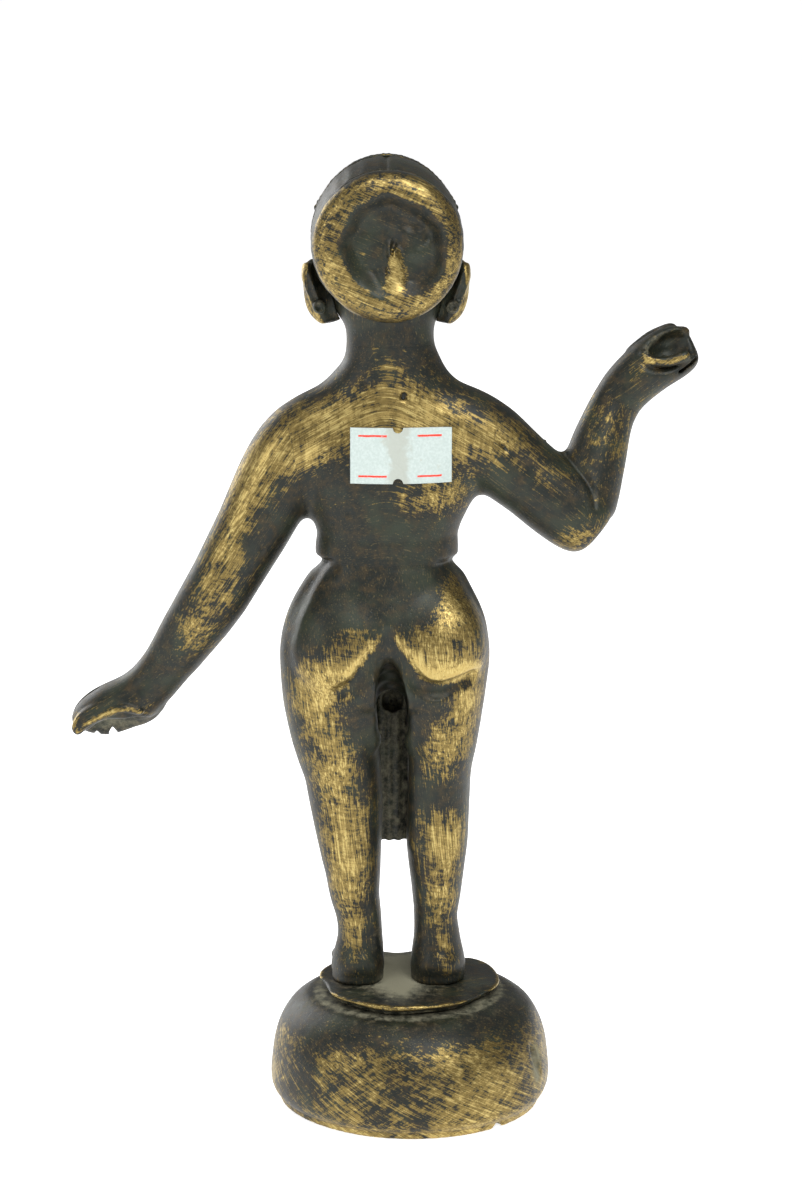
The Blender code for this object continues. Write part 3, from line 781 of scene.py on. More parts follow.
def casting_flaws(field, form):
    """A slit in the right leg, the crease of the elbow and small holes over the back."""
    groove(field, form.line_on(LEG_SLIT, 1, 0.0), 0.28, 0.2)
    crease = form.line_on(ELBOW_CREASE, 1, -0.1)
    groove(field, crease, tapered(crease, 0.6, 0.35), 0.6)
    field.cut(ellipsoid(form.on_surface(-3.7, 155.4, 1), (0.9, 1.0, 1.0)), 0.3)
    field.cut(ellipsoid(form.on_surface(-24.6, 144.8, 1), (0.7, 0.8, 1.5), (0, 35, 0)), 0.3)
    rng = np.random.default_rng(11)
    for x, z in PINHOLES:
        field.cut(ellipsoid(form.on_surface(x, z, 1, 0.0), rng.uniform(0.3, 0.7, 3)), 0.5)


def toes(field, foot_x):
    """Five toes at the front of a foot, with nails."""
    for i in range(5):
        x = foot_x + (i - 2) * 2.05
        tip = -14.2 + 0.28 * (i - 2) ** 2
        field.join(capsule((x, tip + 3.6, 28.6), (x, tip, 28.0), 1.25, 1.05), 0.5)
        field.cut(ellipsoid((x, tip - 0.5, 29.2), (0.6, 0.6, 0.25)), 0.1)
    for i in range(4):
        x = foot_x + (i - 1.5) * 2.05
        groove(field, [(x, -10.5, 30.2), (x, -15.5, 28.2)], 0.3)


def skirt_folds(field, form):
    """Hanging folds cut across the front of each thigh and shin."""
    for side, middle in ((1, 9.5), (-1, -11.5)):
        for i, z in enumerate(np.arange(106, 42, -7.0)):
            half = 6.6 - 0.35 * i
            points = [(middle + side * half, z + 3.2), (middle + side * half * 0.4, z + 0.4),
                      (middle - side * half * 0.35, z - 0.4), (middle - side * half * 0.75, z + 0.8)]
            groove(field, form.line_on(points, -1, 0.05), 0.32, 0.5)


def belt(field, form):
    """A beaded belt with a clasp, round the front of the hips below the waist seam."""
    for z, radius in ((117.6, 0.5), (113.4, 0.5)):
        line = [(x, z - 0.0045 * (15.5 ** 2 - x ** 2)) for x in (-12.6, -8, 0, 8, 12.6)]
        ridge_line(field, form.line_on(line, -1, 0.1), radius)
    for x in np.linspace(-12, 12, 15):
        z = 115.5 - 0.0045 * (15.5 ** 2 - x ** 2)
        field.join(ellipsoid(form.on_surface(x, z, -1, 0.1), (0.95, 0.8, 0.95)), 0.2)
    clasp = form.on_surface(0, 114.6, -1, 0.0)
    field.join(ellipsoid(clasp, (3.0, 1.3, 3.0)), 0.4)
    field.join(ellipsoid(clasp + np.array([0, -0.9, 0]), (1.6, 1.0, 1.6)), 0.2)


def bodice(field, form):
    """Neckline and hem of a fitted bodice, with a groove down the middle, shown at the front only."""
    neckline = [(-14.5, 151.5), (-9, 148.0), (0, 145.6), (8, 148.0), (13.0, 151.5)]
    ridge_line(field, form.line_on(neckline, -1, 0.1), 0.42)
    hem = [(-14.0, 126.6), (-7, 126.2), (0, 126.0), (7, 126.2), (14.0, 126.6)]
    ridge_line(field, form.line_on(hem, -1, 0.1), 0.55)
    between = form.line_on([(-0.3, 144.5), (-0.3, 139), (-0.3, 132)], -1, 0.1)
    groove(field, between, 0.35, 0.8)


def necklace(field, form):
    """Two rows of beads and a pendant over the collar bones."""
    for drop, size, count in ((156.4, 0.7, 15), (152.6, 0.85, 19)):
        half = 8.2 + (158.5 - drop) * 0.75
        for x in np.linspace(-half, half, count):
            z = drop - 4.2 + 5.2 * (x / half) ** 2
            bead = form.on_surface(x - 0.8, z, -1, 0.05)
            field.join(ellipsoid(bead, (size, size, size)), 0.15)
    pendant = form.on_surface(-0.8, 145.9, -1, 0.0)
    field.join(ellipsoid(pendant, (1.5, 0.9, 2.1)), 0.3)


def bead_ring(field, form, centre, normal, size=0.75, arc=0.6, count=9, start=12.0):
    """Beads laid on a limb, round the front half of its section."""
    normal = np.asarray(normal, float)
    side = np.cross(normal, (0, 1, 0))
    side /= np.linalg.norm(side)
    front = np.cross(side, normal)
    front *= -np.sign(front[1])
    for turn in np.linspace(-arc, arc, count):
        outward = side * math.sin(turn) + front * math.cos(turn)
        found = form.hit(np.asarray(centre) + start * outward, -outward)
        if found is not None:
            field.join(ellipsoid(found - 0.15 * outward, (size, size, size)), 0.25)


def jewellery_on_limbs(field, form):
    """Anklets, bangles and an armlet on each upper arm, shown at the front."""
    for ankle_x in (5.9, -10.9):
        bead_ring(field, form, (ankle_x, 0.2, 34.6), (0, 0, 1), arc=0.65, start=7.6)
    for name, along in (("left_shoulder", 15.0), ("left_shoulder", 17.0),
                        ("right_shoulder", 9.0), ("right_shoulder", 11.0),
                        ("left_wrist", -4.0), ("right_wrist", -3.6)):
        (centre, normal), _ = SEAMS[name]
        bead_ring(field, form, centre + normal * along, normal, size=0.7)


def body_casting(form):
    """Torso, arms and legs from one field, cut at the seams."""
    low, _ = figure_box("lower_body")
    field = form.field((-58, -17, low[2] - 1), (54, 17, SEAMS["neck"][0][0][2] + 3), BODY_STEP)
    carry_down(field, DISC_TOP + 2.0)
    roughen(field, *BROAD_WAVES)
    roughen(field, *FINE_WAVES)
    seat(field, form)
    skirt_edges(field)
    waistband(field)
    casting_flaws(field, form)
    for foot_x in (6.9, -11.6):
        toes(field, foot_x)
    skirt_folds(field, form)
    belt(field, form)
    bodice(field, form)
    necklace(field, form)
    jewellery_on_limbs(field, form)
    keep_above(field, DISC_TOP + 0.05)
    item = meshed("figure", field, body_paint)
    wanted = ["lower_body", "torso", "left_arm", "right_upper_arm", "right_forearm"]
    return name_pieces(separated(item, SEAMS.values()), wanted)


# ---------------------------------------------------------------- head

def on_face(form, x, z, out=0.0):
    """A point at x, z on the front of the head, standing out from it by a distance."""
    return form.on_surface(x, z, -1, -out)


def on_face_line(form, points):
    """A smooth line through (x, z, distance out) points on the front of the head."""
    return smooth_curve([on_face(form, *point) for point in points])


# Lines of one eye: (x, z, distance out) points, x outwards from the middle of the face
UPPER_LID = [(2.3, 184.9, -0.3), (3.6, 186.5, 0.05), (5.2, 187.1, 0.1), (7.0, 186.6, -0.1),
             (8.9, 185.2, -0.3)]
LOWER_LID = [(2.3, 184.9, -0.3), (3.8, 183.9, -0.3), (5.4, 183.6, -0.3), (7.2, 184.1, -0.3),
             (8.9, 185.2, -0.3)]
BROW = [(2.0, 189.2, 0.0), (4.4, 190.3, 0.0), (7.2, 190.2, 0.0), (9.8, 188.4, -0.2)]


def eyes(field, form):
    """Sockets, eyeballs with pupils, lids and brows."""
    for side in (-1, 1):
        field.cut(ellipsoid(on_face(form, side * 5.2, 185.6, 0.6), (4.3, 1.9, 2.5)), 1.4)
        field.join(ellipsoid(on_face(form, side * 5.2, 185.3, -1.9), (2.9, 2.2, 1.9)), 0.15)
        for line, radius, blend in ((UPPER_LID, 0.42, 0.35), (LOWER_LID, 0.3, 0.35)):
            points = [(side * x, z, out) for x, z, out in line]
            ridge_line(field, on_face_line(form, points), radius, blend)
        field.cut(ellipsoid(on_face(form, side * 5.2, 185.4, -0.2), (0.75, 0.5, 0.75)), 0.15)
        brow = [(side * x, z, out) for x, z, out in BROW]
        ridge_line(field, on_face_line(form, brow), 0.5, 0.9)


def nose(field, form):
    """A straight bridge with a rounded tip and two nostrils."""
    bridge = [on_face(form, 0, z, out) for z, out in
              ((188.0, -0.3), (184.5, 0.1), (181.0, 0.6), (179.6, 0.8))]
    tapered_chain(field, bridge, 0.9, 1.35, 1.3, between=6)
    for side in (-1, 1):
        field.join(ellipsoid(on_face(form, side * 1.65, 178.9, -0.2), (1.05, 1.2, 0.95)), 0.6)
        field.cut(ellipsoid(on_face(form, side * 0.95, 178.0, 0.6), (0.5, 0.8, 0.45)), 0.25)


UPPER_LIP = [(-3.3, 174.9, -0.3), (-1.6, 175.7, -0.05), (-0.5, 175.9, 0.0), (0, 175.6, 0.0),
             (0.5, 175.9, 0.0), (1.6, 175.7, -0.05), (3.3, 174.9, -0.3)]
LOWER_LIP = [(-2.9, 174.6, -0.3), (-1.4, 173.6, -0.1), (0, 173.3, 0.0), (1.4, 173.6, -0.1),
             (2.9, 174.6, -0.3)]
PARTING = [(-3.4, 175.1, 0.5), (-1.5, 174.75, 0.5), (0, 174.65, 0.5), (1.5, 174.75, 0.5),
           (3.4, 175.1, 0.5)]


def mouth(field, form):
    """Full closed lips, the line between them and the groove above them."""
    ridge_line(field, on_face_line(form, UPPER_LIP), 0.55, 0.8)
    ridge_line(field, on_face_line(form, LOWER_LIP), 0.7, 0.8)
    groove(field, on_face_line(form, PARTING), 0.28, 0.2)
    groove(field, [on_face(form, 0, 177.4, 0.35), on_face(form, 0, 176.4, 0.3)], 0.35, 0.6)


def cheeks_and_chin(field, form):
    for side in (-1, 1):
        field.join(ellipsoid(on_face(form, side * 6.6, 179.0, -2.6), (3.8, 3.0, 4.2)), 2.5)
    field.join(ellipsoid(on_face(form, 0, 170.4, -1.2), (2.9, 2.5, 2.3)), 2.2)
    field.cut(ellipsoid(on_face(form, 0, 172.2, 0.9), (2.6, 1.0, 0.6)), 0.8)


def forehead_mark(field, form):
    """A round mark between the brows and a small jewel hanging from the parting."""
    field.join(ellipsoid(on_face(form, 0, 190.2, 0.0), (0.7, 0.5, 0.7)), 0.1)
    drop = [(0, 199.5), (0, 197.6), (0, 195.9)]
    for (x, z), size in zip(drop, (0.6, 0.6, 0.95)):
        field.join(ellipsoid(on_face(form, x, z, -0.15), (size, size * 0.8, size)), 0.15)


BAND_LOW, BAND_HIGH = figure_box("hair_band")
BAND_Y = (BAND_LOW[1] + BAND_HIGH[1]) / 2


def hair_cap(field):
    """Fill the hair out between the band and the disc behind the head."""
    disc_low, disc_high = figure_box("hair_disc")
    middle = (disc_low + disc_high) / 2
    start, end = BAND_HIGH[1], disc_low[1]

    def distance(x, y, z):
        share = np.clip((y - start) / (end - start), 0, 1)
        bulge = np.sin(math.pi * share)
        width = 15.4 - 0.2 * share + 0.3 * bulge
        height = 16.9 - 1.5 * share + 0.7 * bulge
        from_axis = np.hypot((x - middle[0] * share) / width, (z - middle[2]) / height)
        ends = np.maximum(start + 0.1 - y, y - end + 0.1)
        nape = (177.0 + 0.35 * (11.0 - y)) - z
        return np.maximum(np.maximum((from_axis - 1) * width, ends), nape)

    field.join(Shape((-17, start, 175), (17, end, 205), distance), 1.2)


def combed_hair(field):
    """Hair raised above the forehead and drawn back in fine strands, with a centre parting."""
    def depth(x, y, z):
        beyond = np.sqrt((x / 12.2) ** 2 + ((z - 182.0) / 14.4) ** 2) - 1.0
        front = smoothstep(beyond * 9)
        hair = np.where(y < -5.0, front, smoothstep((z - 176.0) / 2.0))
        hair = hair * smoothstep((z - 175.0) / 2.0)
        hair = hair * smoothstep((np.abs(y - BAND_Y) - 1.6) / 0.8)
        strands = np.sin(np.arctan2(x, z - 184.0) * 34 + 0.6 * np.sin(y * 0.35))
        parting = np.exp(-(x / 0.55) ** 2) * (z > 190)
        fineness = 1 - 0.65 * smoothstep((y - BAND_Y) / 2.0)
        return -hair * (0.16 + 0.12 * fineness * strands - 0.5 * parting)
    field.press((-18, -18, 172), (18, 11.5, 205), depth)


def head_paint(points, normal, ridge):
    rubbed = spots(points, [((0, -17, 180), (3, 4, 4), 0.9), ((6.5, -13, 179), (3.5, 4, 3.5), 0.6),
                            ((-6.5, -13, 179), (3.5, 4, 3.5), 0.6), ((0, -14, 170), (4, 4, 3), 0.6),
                            ((0, -13, 194), (7, 5, 5), 0.35), ((-1.9, 9, 160.5), (6, 6, 4), 0.15)])
    return {"wear_and_sheen": rubbed - 0.1 * (points[:, 1] > 0), "ridge": ridge, "dust": np.zeros(len(points))}


def head_casting(form):
    seam_height = SEAMS["neck"][0][0][2]
    low, high = figure_box("head")
    field = form.field((low[0] - 2, low[1] - 5, seam_height - 2), (high[0] + 2, 14, high[2] + 2),
                       HEAD_STEP)
    roughen(field, *BROAD_WAVES)
    cheeks_and_chin(field, form)
    eyes(field, form)
    nose(field, form)
    mouth(field, form)
    hair_cap(field)
    combed_hair(field)
    forehead_mark(field, form)
    item = meshed("head", field, head_paint)
    return name_pieces(separated(item, [SEAMS["neck"]]), ["head"])


# ---------------------------------------------------------------- hands

# The lower edge of the left palm, near side and far side, as (x, y, z) points
NEAR_EDGE = [(52.4, 0.3, 86.0), (54.6, 0.6, 86.7), (56.6, 0.9, 86.9), (60.5, 0.6, 85.4),
             (64.3, 0.0, 83.3), (66.2, -0.8, 81.4)]
FAR_EDGE = [(48.9, -4.6, 86.8), (50.6, -7.2, 84.2), (52.6, -9.0, 82.6), (55.0, -9.6, 81.7),
            (58.0, -9.6, 80.6), (61.0, -9.5, 80.0), (64.6, -8.6, 80.8)]


def long_fingers(field):
    """Four fingers side by side that bend down at the tips, with grooves between the outer three."""
    for i in range(4):
        y = -1.2 - 3.2 * i
        sag = 0.07 * (y + 6.0) ** 2
        finger = [(56.0, y, 87.6 - sag), (61.5, y, 87.5 - sag), (65.0, y, 85.2 - 0.8 * sag),
                  (66.2, y, 81.9)]
        tapered_chain(field, finger, 1.9, 1.2, 0.5)
    for i in (1, 2):
        y = -2.8 - 3.2 * i
        sag = 0.07 * (y + 6.0) ** 2
        between = [(59.0, y, 89.6 - sag), (63.0, y, 88.6 - sag), (66.6, y, 85.6 - sag),
                   (67.8, y, 80.5)]
        groove(field, smooth_curve(between, 4), 0.5, 0.6)


def hollow_palm(field):
    """The hollow under the palm, a ridge on its near edge and two notches in its far edge."""
    hollow = [(51.5, -3.0, 80.6), (55.5, -3.6, 82.2), (60.0, -3.9, 81.3), (64.3, -4.6, 79.2)]
    radii = list(np.linspace(2.0, 3.5, 4)) + list(np.linspace(3.7, 2.4, 9))
    chain(field, smooth_curve(hollow, 4), radii, 0.5, cut=True)
    ridge_line(field, smooth_curve(NEAR_EDGE, 4), 0.45, 0.8)
    chain(field, smooth_curve(FAR_EDGE, 4), 1.3, 0.7)
    for x, z, size in ((59.3, 79.0, 1.0), (62.7, 78.9, 0.55)):
        for rise, radius in ((0.0, 0.9), (0.8, 0.5), (1.3, 0.2)):
            height = z + rise * size
            field.cut(capsule((x, -14.0, height), (x, -2.0, height), radius * size), 0.05)


def left_hand_paint(points, normal, ridge):
    # The lines along the near edge and the knuckles are partly rubbed metal and partly painted
    # highlight: a thin bright line along the hand's outline.
    near = [(50.0, 84.6)] + [(x, z) for x, _, z in NEAR_EDGE]
    knuckles = [(60.5, 91.4), (63.6, 89.8), (65.8, 86.6), (67.2, 83.0)]
    rim = lines_near(points, [(near, 0.6, 0.85), (knuckles, 0.8, 1.05),
                              ([(49.5, 86.0), (52.5, 88.6)], 1.6, 0.4)], front=-4.0)
    rim += spots(points, [((66.5, -6, 82), (1.8, 7, 3), 0.6)])
    under = spots(points, [((58, -7, 81.5), (8, 4, 3), 0.8)])
    return {"wear_and_sheen": rim - 0.1 - 0.2 * under, "ridge": ridge, "dust": 0.5 * under}


def left_hand_casting(form):
    """A hand held palm down: smooth back, fingers side by side, hollow underneath."""
    low, high = figure_box("left_hand")
    field = form.field(low - np.array([6, 3, 3]), high + np.array([4, 3, 8]), HAND_STEP)
    roughen(field, *BROAD_WAVES)
    long_fingers(field)
    hollow_palm(field)
    thumb = [(52.0, -10.4, 86.0), (56.0, -11.6, 83.2), (59.0, -11.2, 81.8)]
    tapered_chain(field, thumb, 2.2, 1.5, 0.6)
    field.join(ellipsoid((61.9, -10.4, 81.6), (1.5, 1.8, 1.9), (0, 20, 0)), 0.4)
    field.join(ellipsoid((64.8, -8.2, 81.6), (1.3, 1.8, 1.5)), 0.4)
    item = meshed("left_hand", field, left_hand_paint)
    return name_pieces(separated(item, [SEAMS["left_wrist"]]), ["left_hand"])


# The rim of the cup on the right hand, as (x, z) points
LOWER_RIM = [(-54.2, 161.9), (-55.9, 161.1), (-59.3, 161.1), (-62.7, 162.1), (-64.9, 163.6),
             (-65.8, 165.2)]
UPPER_RIM = [(-54.2, 162.4), (-56.4, 165.0), (-59.0, 166.6)]


def closed_fingers(field):
    """Four fingers bent round at the front, each with a nail, and the thumb over them."""
    wrist = np.array([-49.6, -6.9, 153.9])
    along = np.array([-0.815, 0, 0.579])
    upward = np.array([0.579, 0, 0.815])
    forward = np.array([0, -1, 0])
    nail_turn = 1.05
    for i in range(4):
        middle = wrist + along * (5.6 + 3.1 * i)
        finger = [middle + 5.0 * (upward * math.sin(turn) + forward * math.cos(turn))
                  for turn in np.radians(np.linspace(-42, 68, 9))]
        chain(field, finger, 1.5, 0.45)
        nail = middle + 5.6 * (upward * math.sin(nail_turn) + forward * math.cos(nail_turn))
        field.cut(ellipsoid(nail, (0.7, 0.5, 0.7)), 0.15)
    thumb = [(-52.6, -10.6, 161.2), (-56.4, -11.6, 164.4), (-60.2, -10.2, 166.6)]
    tapered_chain(field, thumb, 2.1, 1.5, 0.5)


def cup_on_hand(field, form):
    """An oval hollow with a raised, nicked rim, where something was once held."""
    raised = [(x, -3.0, z + 0.1) for x, z in smooth_curve(LOWER_RIM[:-2], 4)]
    chain(field, raised, 1.0, 0.9)
    field.cut(ellipsoid((-60.2, -2.2, 164.9), (5.6, 5.6, 2.5), (0, 21, 0)), 0.35)
    for fingertip in ((-62.6, -8.0, 166.5), (-60.6, -8.6, 166.3)):
        field.join(ellipsoid(fingertip, (1.4, 1.3, 1.2)), 0.4)
    for x, z in smooth_curve([(-61.6, 158.7), (-63.6, 160.1), (-65.2, 161.6)], 5):
        field.cut(capsule((x, 3.0, z), (x, -5.0, z), 0.32), 0.1)
    rng = np.random.default_rng(5)
    for x, z in smooth_curve(LOWER_RIM + UPPER_RIM[::-1], 4):
        nick = form.on_surface(x, z, 1, 0.1) + rng.uniform(-0.4, 0.4, 3)
        field.cut(ellipsoid(nick, rng.uniform(0.2, 0.45, 3)), 0.3)


def right_hand_paint(points, normal, ridge):
    rim = lines_near(points, [(LOWER_RIM, 0.6, 0.85), (UPPER_RIM, 0.6, 0.4),
                              ([(-55.0, 160.4), (-52.0, 158.6)], 1.6, 0.35)], front=-7.0)
    within = spots(points, [((-60.2, -4.0, 164.2), (5, 3.5, 2.6), 0.6)])
    pale = lines_near(points, [(UPPER_RIM, 0.7, 0.3)], front=-8.0)
    return {"wear_and_sheen": rim - within, "ridge": ridge, "dust": 0.5 * within + pale}


def right_hand_casting(form):
    """A hand closed round a stem that is no longer there: fingers at the front, a cup on top."""
    low, high = figure_box("right_hand")
    field = form.field(low - np.array([4, 3, 7]), high + np.array([6, 3, 3]), HAND_STEP)
    roughen(field, *BROAD_WAVES)
    closed_fingers(field)
    cup_on_hand(field, form)
    item = meshed("right_hand", field, right_hand_paint)
    return name_pieces(separated(item, [SEAMS["right_wrist"]]), ["right_hand"])


# ---------------------------------------------------------------- hair disc, band and ears

def small_form(node, pitch=0.6, margin=3.0):
    return Form([node], pitch, margin)


def small_field(form, step=TRIM_STEP, margin=1.5):
    low = np.array([line[0] for line in form.lines]) + form.margin - margin
    high = np.array([line[-1] for line in form.lines]) - form.margin + margin
    return form.field(low, high, step)


def recess_edge(angle):
    """The wavering radius of the sunk middle of the hair disc."""
    return 9.9 + 0.45 * np.sin(2 * angle + 0.6) + 0.2 * np.sin(5 * angle + 1.3) \
        + 0.2 * np.sin(9 * angle + 1.0)


def round_disc(field, low, high, middle, hollow, rng):
    """A disc with a rolled rim, its middle sunk and lumpy, with a tongue of metal left in it."""
    back = high[1]
    rim = (high[0] - low[0]) / 2
    roll_radius, depth = 4.2, 2.7
    _, x, y, z = field.window(low - 1.5, high + 1.5)

    radius = np.hypot(x - middle[0], z - middle[2])
    around = np.arctan2(z - middle[2], x - middle[0])
    edge = rim - 0.15 + 0.15 * np.sin(3 * around + 1.0)
    roll = np.clip((radius - (edge - roll_radius)) / roll_radius, 0, 1)
    height = back - 0.1 - roll_radius * (1 - np.sqrt(1 - roll ** 2 * 0.98))

    inner = np.hypot(x - hollow[0], z - hollow[2])
    inner_angle = np.arctan2(z - hollow[2], x - hollow[0])
    sunk = smoothstep((recess_edge(inner_angle) + 1.3 - inner) / 4.0)
    below = np.maximum(hollow[2] - z, 0)
    tongue = np.exp(-((x - hollow[0] - 0.3) / (1.1 + 0.24 * below)) ** 2) \
        * smoothstep((hollow[2] + 2.0 - z) / 3.0)
    lumps = sum(rng.uniform(-0.3, 0.35) * np.exp(-((x - hollow[0] - rng.uniform(-8, 8)) ** 2
                                                   + (z - hollow[2] - rng.uniform(-8, 8)) ** 2)
                                                 / rng.uniform(0.8, 3.0)) for _ in range(60))
    height = height - sunk * (depth * (1 - 0.6 * tongue) + lumps)
    solid = np.maximum(np.maximum((y - height) * 0.85, radius - edge), low[1] - y)
    field.values = solid.astype(np.float32)


def disc_flaws(field, low, high, middle, hollow, rng):
    """A slit in the middle, a crack in the rim below it and small pits all over."""
    back = high[1]
    slit = (hollow[0] - 0.1, back - 1.2, hollow[2] + 0.6)
    field.cut(ellipsoid(slit, (0.85, 2.4, 1.5), (0, -24, 0)), 0.4)
    field.cut(ellipsoid((slit[0] + 0.6, slit[1], slit[2] - 1.6), (0.3, 1.6, 0.9), (0, 12, 0)), 0.3)
    crack = [(middle[0] + 0.8, back, low[2] + 5.2), (middle[0] + 0.5, back, low[2] + 4.0),
             (middle[0] + 0.8, back - 0.4, low[2] + 2.6)]
    groove(field, crack, 0.26, 0.1)
    for _ in range(70):
        turn, distance = rng.uniform(0, 2 * math.pi), rng.uniform(1, 14.5)
        place = (middle[0] + distance * math.cos(turn), back - (2.1 if distance < 9 else 0.0),
                 middle[2] + distance * math.sin(turn))
        field.cut(ellipsoid(place, rng.uniform(0.15, 0.4, 3)), 0.2)


def hair_disc_piece():
    """The disc behind the head: a broad worn rim round a dark uneven hollow."""
    low, high = figure_box("hair_disc")
    front, back = low[1], high[1]
    middle = (low + high) / 2
    hollow = middle + np.array([-1.2, 0, 0.2])
    rng = np.random.default_rng(21)
    field = Field(low - 1.5, high + 1.5, TRIM_STEP)
    round_disc(field, low, high, middle, hollow, rng)
    roughen(field, *BROAD_WAVES)
    roughen(field, 2.2, 0.12, 6)
    disc_flaws(field, low, high, middle, hollow, rng)

    def paint(points, normal, ridge):
        x, z = points[:, 0] - hollow[0], points[:, 2] - hollow[2]
        edge = recess_edge(np.arctan2(z, x))
        on_rim = smoothstep((np.hypot(x, z) - edge + 0.5) / 2.0)
        rubbed = [((-0.2, -1.5, -1.5), (1.4, 4, 2.6), 0.8), ((-0.5, -1.5, -5.6), (2.5, 4, 3.6), 1.1),
                  ((-0.2, 0.0, -8.5), (3.6, 4, 2.4), 0.7), ((6.2, -2.0, -1.6), (1.2, 4, 1.0), 0.7),
                  ((5.6, -2.0, 3.4), (1.6, 4, 0.6), 0.6)]
        corner = np.array([hollow[0], back, hollow[2]])
        tongue = spots(points - corner, rubbed)
        facing = smoothstep((points[:, 1] - front - 1.6) / 1.6)
        dark = 0.6 * (1 - on_rim) * (1 - np.clip(tongue, 0, 1))
        return {"wear_and_sheen": 0.68 * on_rim * facing + tongue * (1 - on_rim) - dark - 0.4 * (1 - facing),
                "ridge": 0.5 * ridge, "dust": np.zeros(len(points))}

    return meshed("hair_disc_casting", field, paint)


def band_direction(degrees):
    """The direction from the band's middle at an angle over the crown, 90 being straight up."""
    angle = math.radians(degrees)
    return np.array([math.cos(angle), 0, math.sin(angle)])


def hair_band_piece():
    """The band over the crown, with a row of beads on its front between two cords."""
    form = small_form("hair_band", 0.5)
    field = small_field(form, TRIM_STEP * 0.9)
    bead_reach, crown_radius = 16.0, 17.4
    middle = np.array([(BAND_LOW[0] + BAND_HIGH[0]) / 2, BAND_Y, HEAD_HIGH[2] - crown_radius])
    for degrees in np.arange(26, 155, 4.0):
        start = middle + bead_reach * band_direction(degrees) + np.array([0, -10, 0])
        on_band = form.hit(start, (0, 1, 0))
        if on_band is not None:
            field.join(ellipsoid(on_band, (0.75, 0.55, 0.75)), 0.1)
    for side in (-1.35, 1.35):
        line = []
        for degrees in np.arange(8, 173, 4.0):
            outward = band_direction(degrees)
            found = form.hit(middle + 40 * outward + np.array([0, side * 0.6, 0]), -outward)
            line.append(found - 0.2 * outward + np.array([0, side * 0.3, 0]))
        ridge_line(field, line, 0.3, 0.2)
    return meshed("hair_band_cast", field, even_paint(0.15), smoothing=1)


def ear_piece(side, body_form):
    """A leaf-shaped ear with a rolled edge, an inner hollow and a broad lobe against the jaw."""
    node = f"{side}_ear"
    out = 1 if side == "left" else -1
    low, high = figure_box(node)
    outer = high[0] if out > 0 else -low[0]
    field = small_field(small_form(node, 0.5, 8.0), TRIM_STEP * 0.9, 5.0)

    def place(x, y, z):
        return (out * (outer + x), y, high[2] + z)

    def tilted(x, y, z, radii, degrees):
        return ellipsoid(place(x, y, z), radii, (0, out * degrees, 0))

    field.join(tilted(-3.4, 2.6, -8.2, (2.5, 1.9, 4.6), 20), 1.0)
    field.join(tilted(-3.2, 0.6, -4.6, (2.2, 1.8, 5.0), 12), 1.2)
    field.join(tilted(-6.0, 1.6, -8.4, (4.6, 2.2, 4.3), 28), 1.2)
    groove(field, [place(0.3, 0.6, -3.4), place(-0.5, 0.8, -6.0), place(-1.9, 0.9, -8.6)], 0.7, 0.6)
    groove(field, [place(-0.9, 5.9, -2.6), place(-1.8, 6.0, -5.4), place(-2.6, 5.6, -7.4)], 0.7, 0.6)
    roughen(field, *TRIM_WAVES)
    field.values = np.maximum(field.values, 0.06 - body_form.values_on(field))

    def paint(points, normal, ridge):
        rim = outer - np.interp(points[:, 2] - low[2], (0, 4, 8, 13), (4.6, 1.9, 0.4, 1.2))
        edge = smoothstep((out * points[:, 0] - rim + 0.9) / 0.7)
        return {"wear_and_sheen": 0.85 * edge - 0.35 * (1 - edge), "ridge": 0.4 * ridge,
                "dust": np.zeros(len(points))}

    return meshed(f"{node}_cast", field, paint, smoothing=1)


def stud_piece(side):
    """The round back of an ear stud, with a dimple in its end."""
    node = f"{side}_ear_stud"
    low, high = figure_box(node)
    middle = (low + high) / 2
    middle[1] = low[1] - 0.3
    field = Field(low - np.array([1, 2, 1]), high + 1, TRIM_STEP * 0.5)
    field.join(ellipsoid(middle, (1.45, 1.3, 1.45)))
    field.cut(ellipsoid(middle + np.array([0, 1.3, 0]), (0.95, 0.9, 0.95)), 0.2)
    return meshed(f"{node}_cast", field, even_paint(-0.1, 0.2), smoothing=1)


# ---------------------------------------------------------------- hanging cloth

def drape_piece(body_form):
    """The pleated end of the skirt cloth, with a bordered hem."""
    form = small_form("front_drape", 0.8)
    low, high = figure_box("front_drape")
    field = small_field(form, TRIM_STEP * 1.3)
    field.values = np.maximum(field.values, 0.12 - body_form.values_on(field))
    field.cut(INNER_THIGH)
    field.cut(THIGH_HOLE)
    pleat_width = 2.1

    def pleats(x, y, z):
        spread = 1.0 - 0.25 * (z - low[2]) / (high[2] - low[2])
        wave = np.sin(x / spread * 2 * math.pi / pleat_width)
        front = smoothstep((-y - 9.0) / 2.0)
        hem = smoothstep((low[2] + 4.6 - z) / 0.5) * smoothstep((z - low[2] - 2.4) / 0.5)
        return (0.34 * front + 0.12 * (1 - front)) * wave - 0.3 * hem * front

    field.press(low - 1, high + 1, pleats)
    for x in np.arange(-4.5, 4.6, 1.5):
        field.cut(ellipsoid((x, low[1] + 0.5, low[2] + 1.0), (0.4, 1.5, 0.4)), 0.2)
    roughen(field, *TRIM_WAVES)

    def paint(points, normal, ridge):
        front = smoothstep(-normal[:, 1] * 2)
        return {"wear_and_sheen": 0.45 * front - 0.25, "ridge": ridge, "dust": 0.32 * (1 - front)}

    return meshed("front_drape_casting", field, paint, smoothing=1)


# ---------------------------------------------------------------- plinth

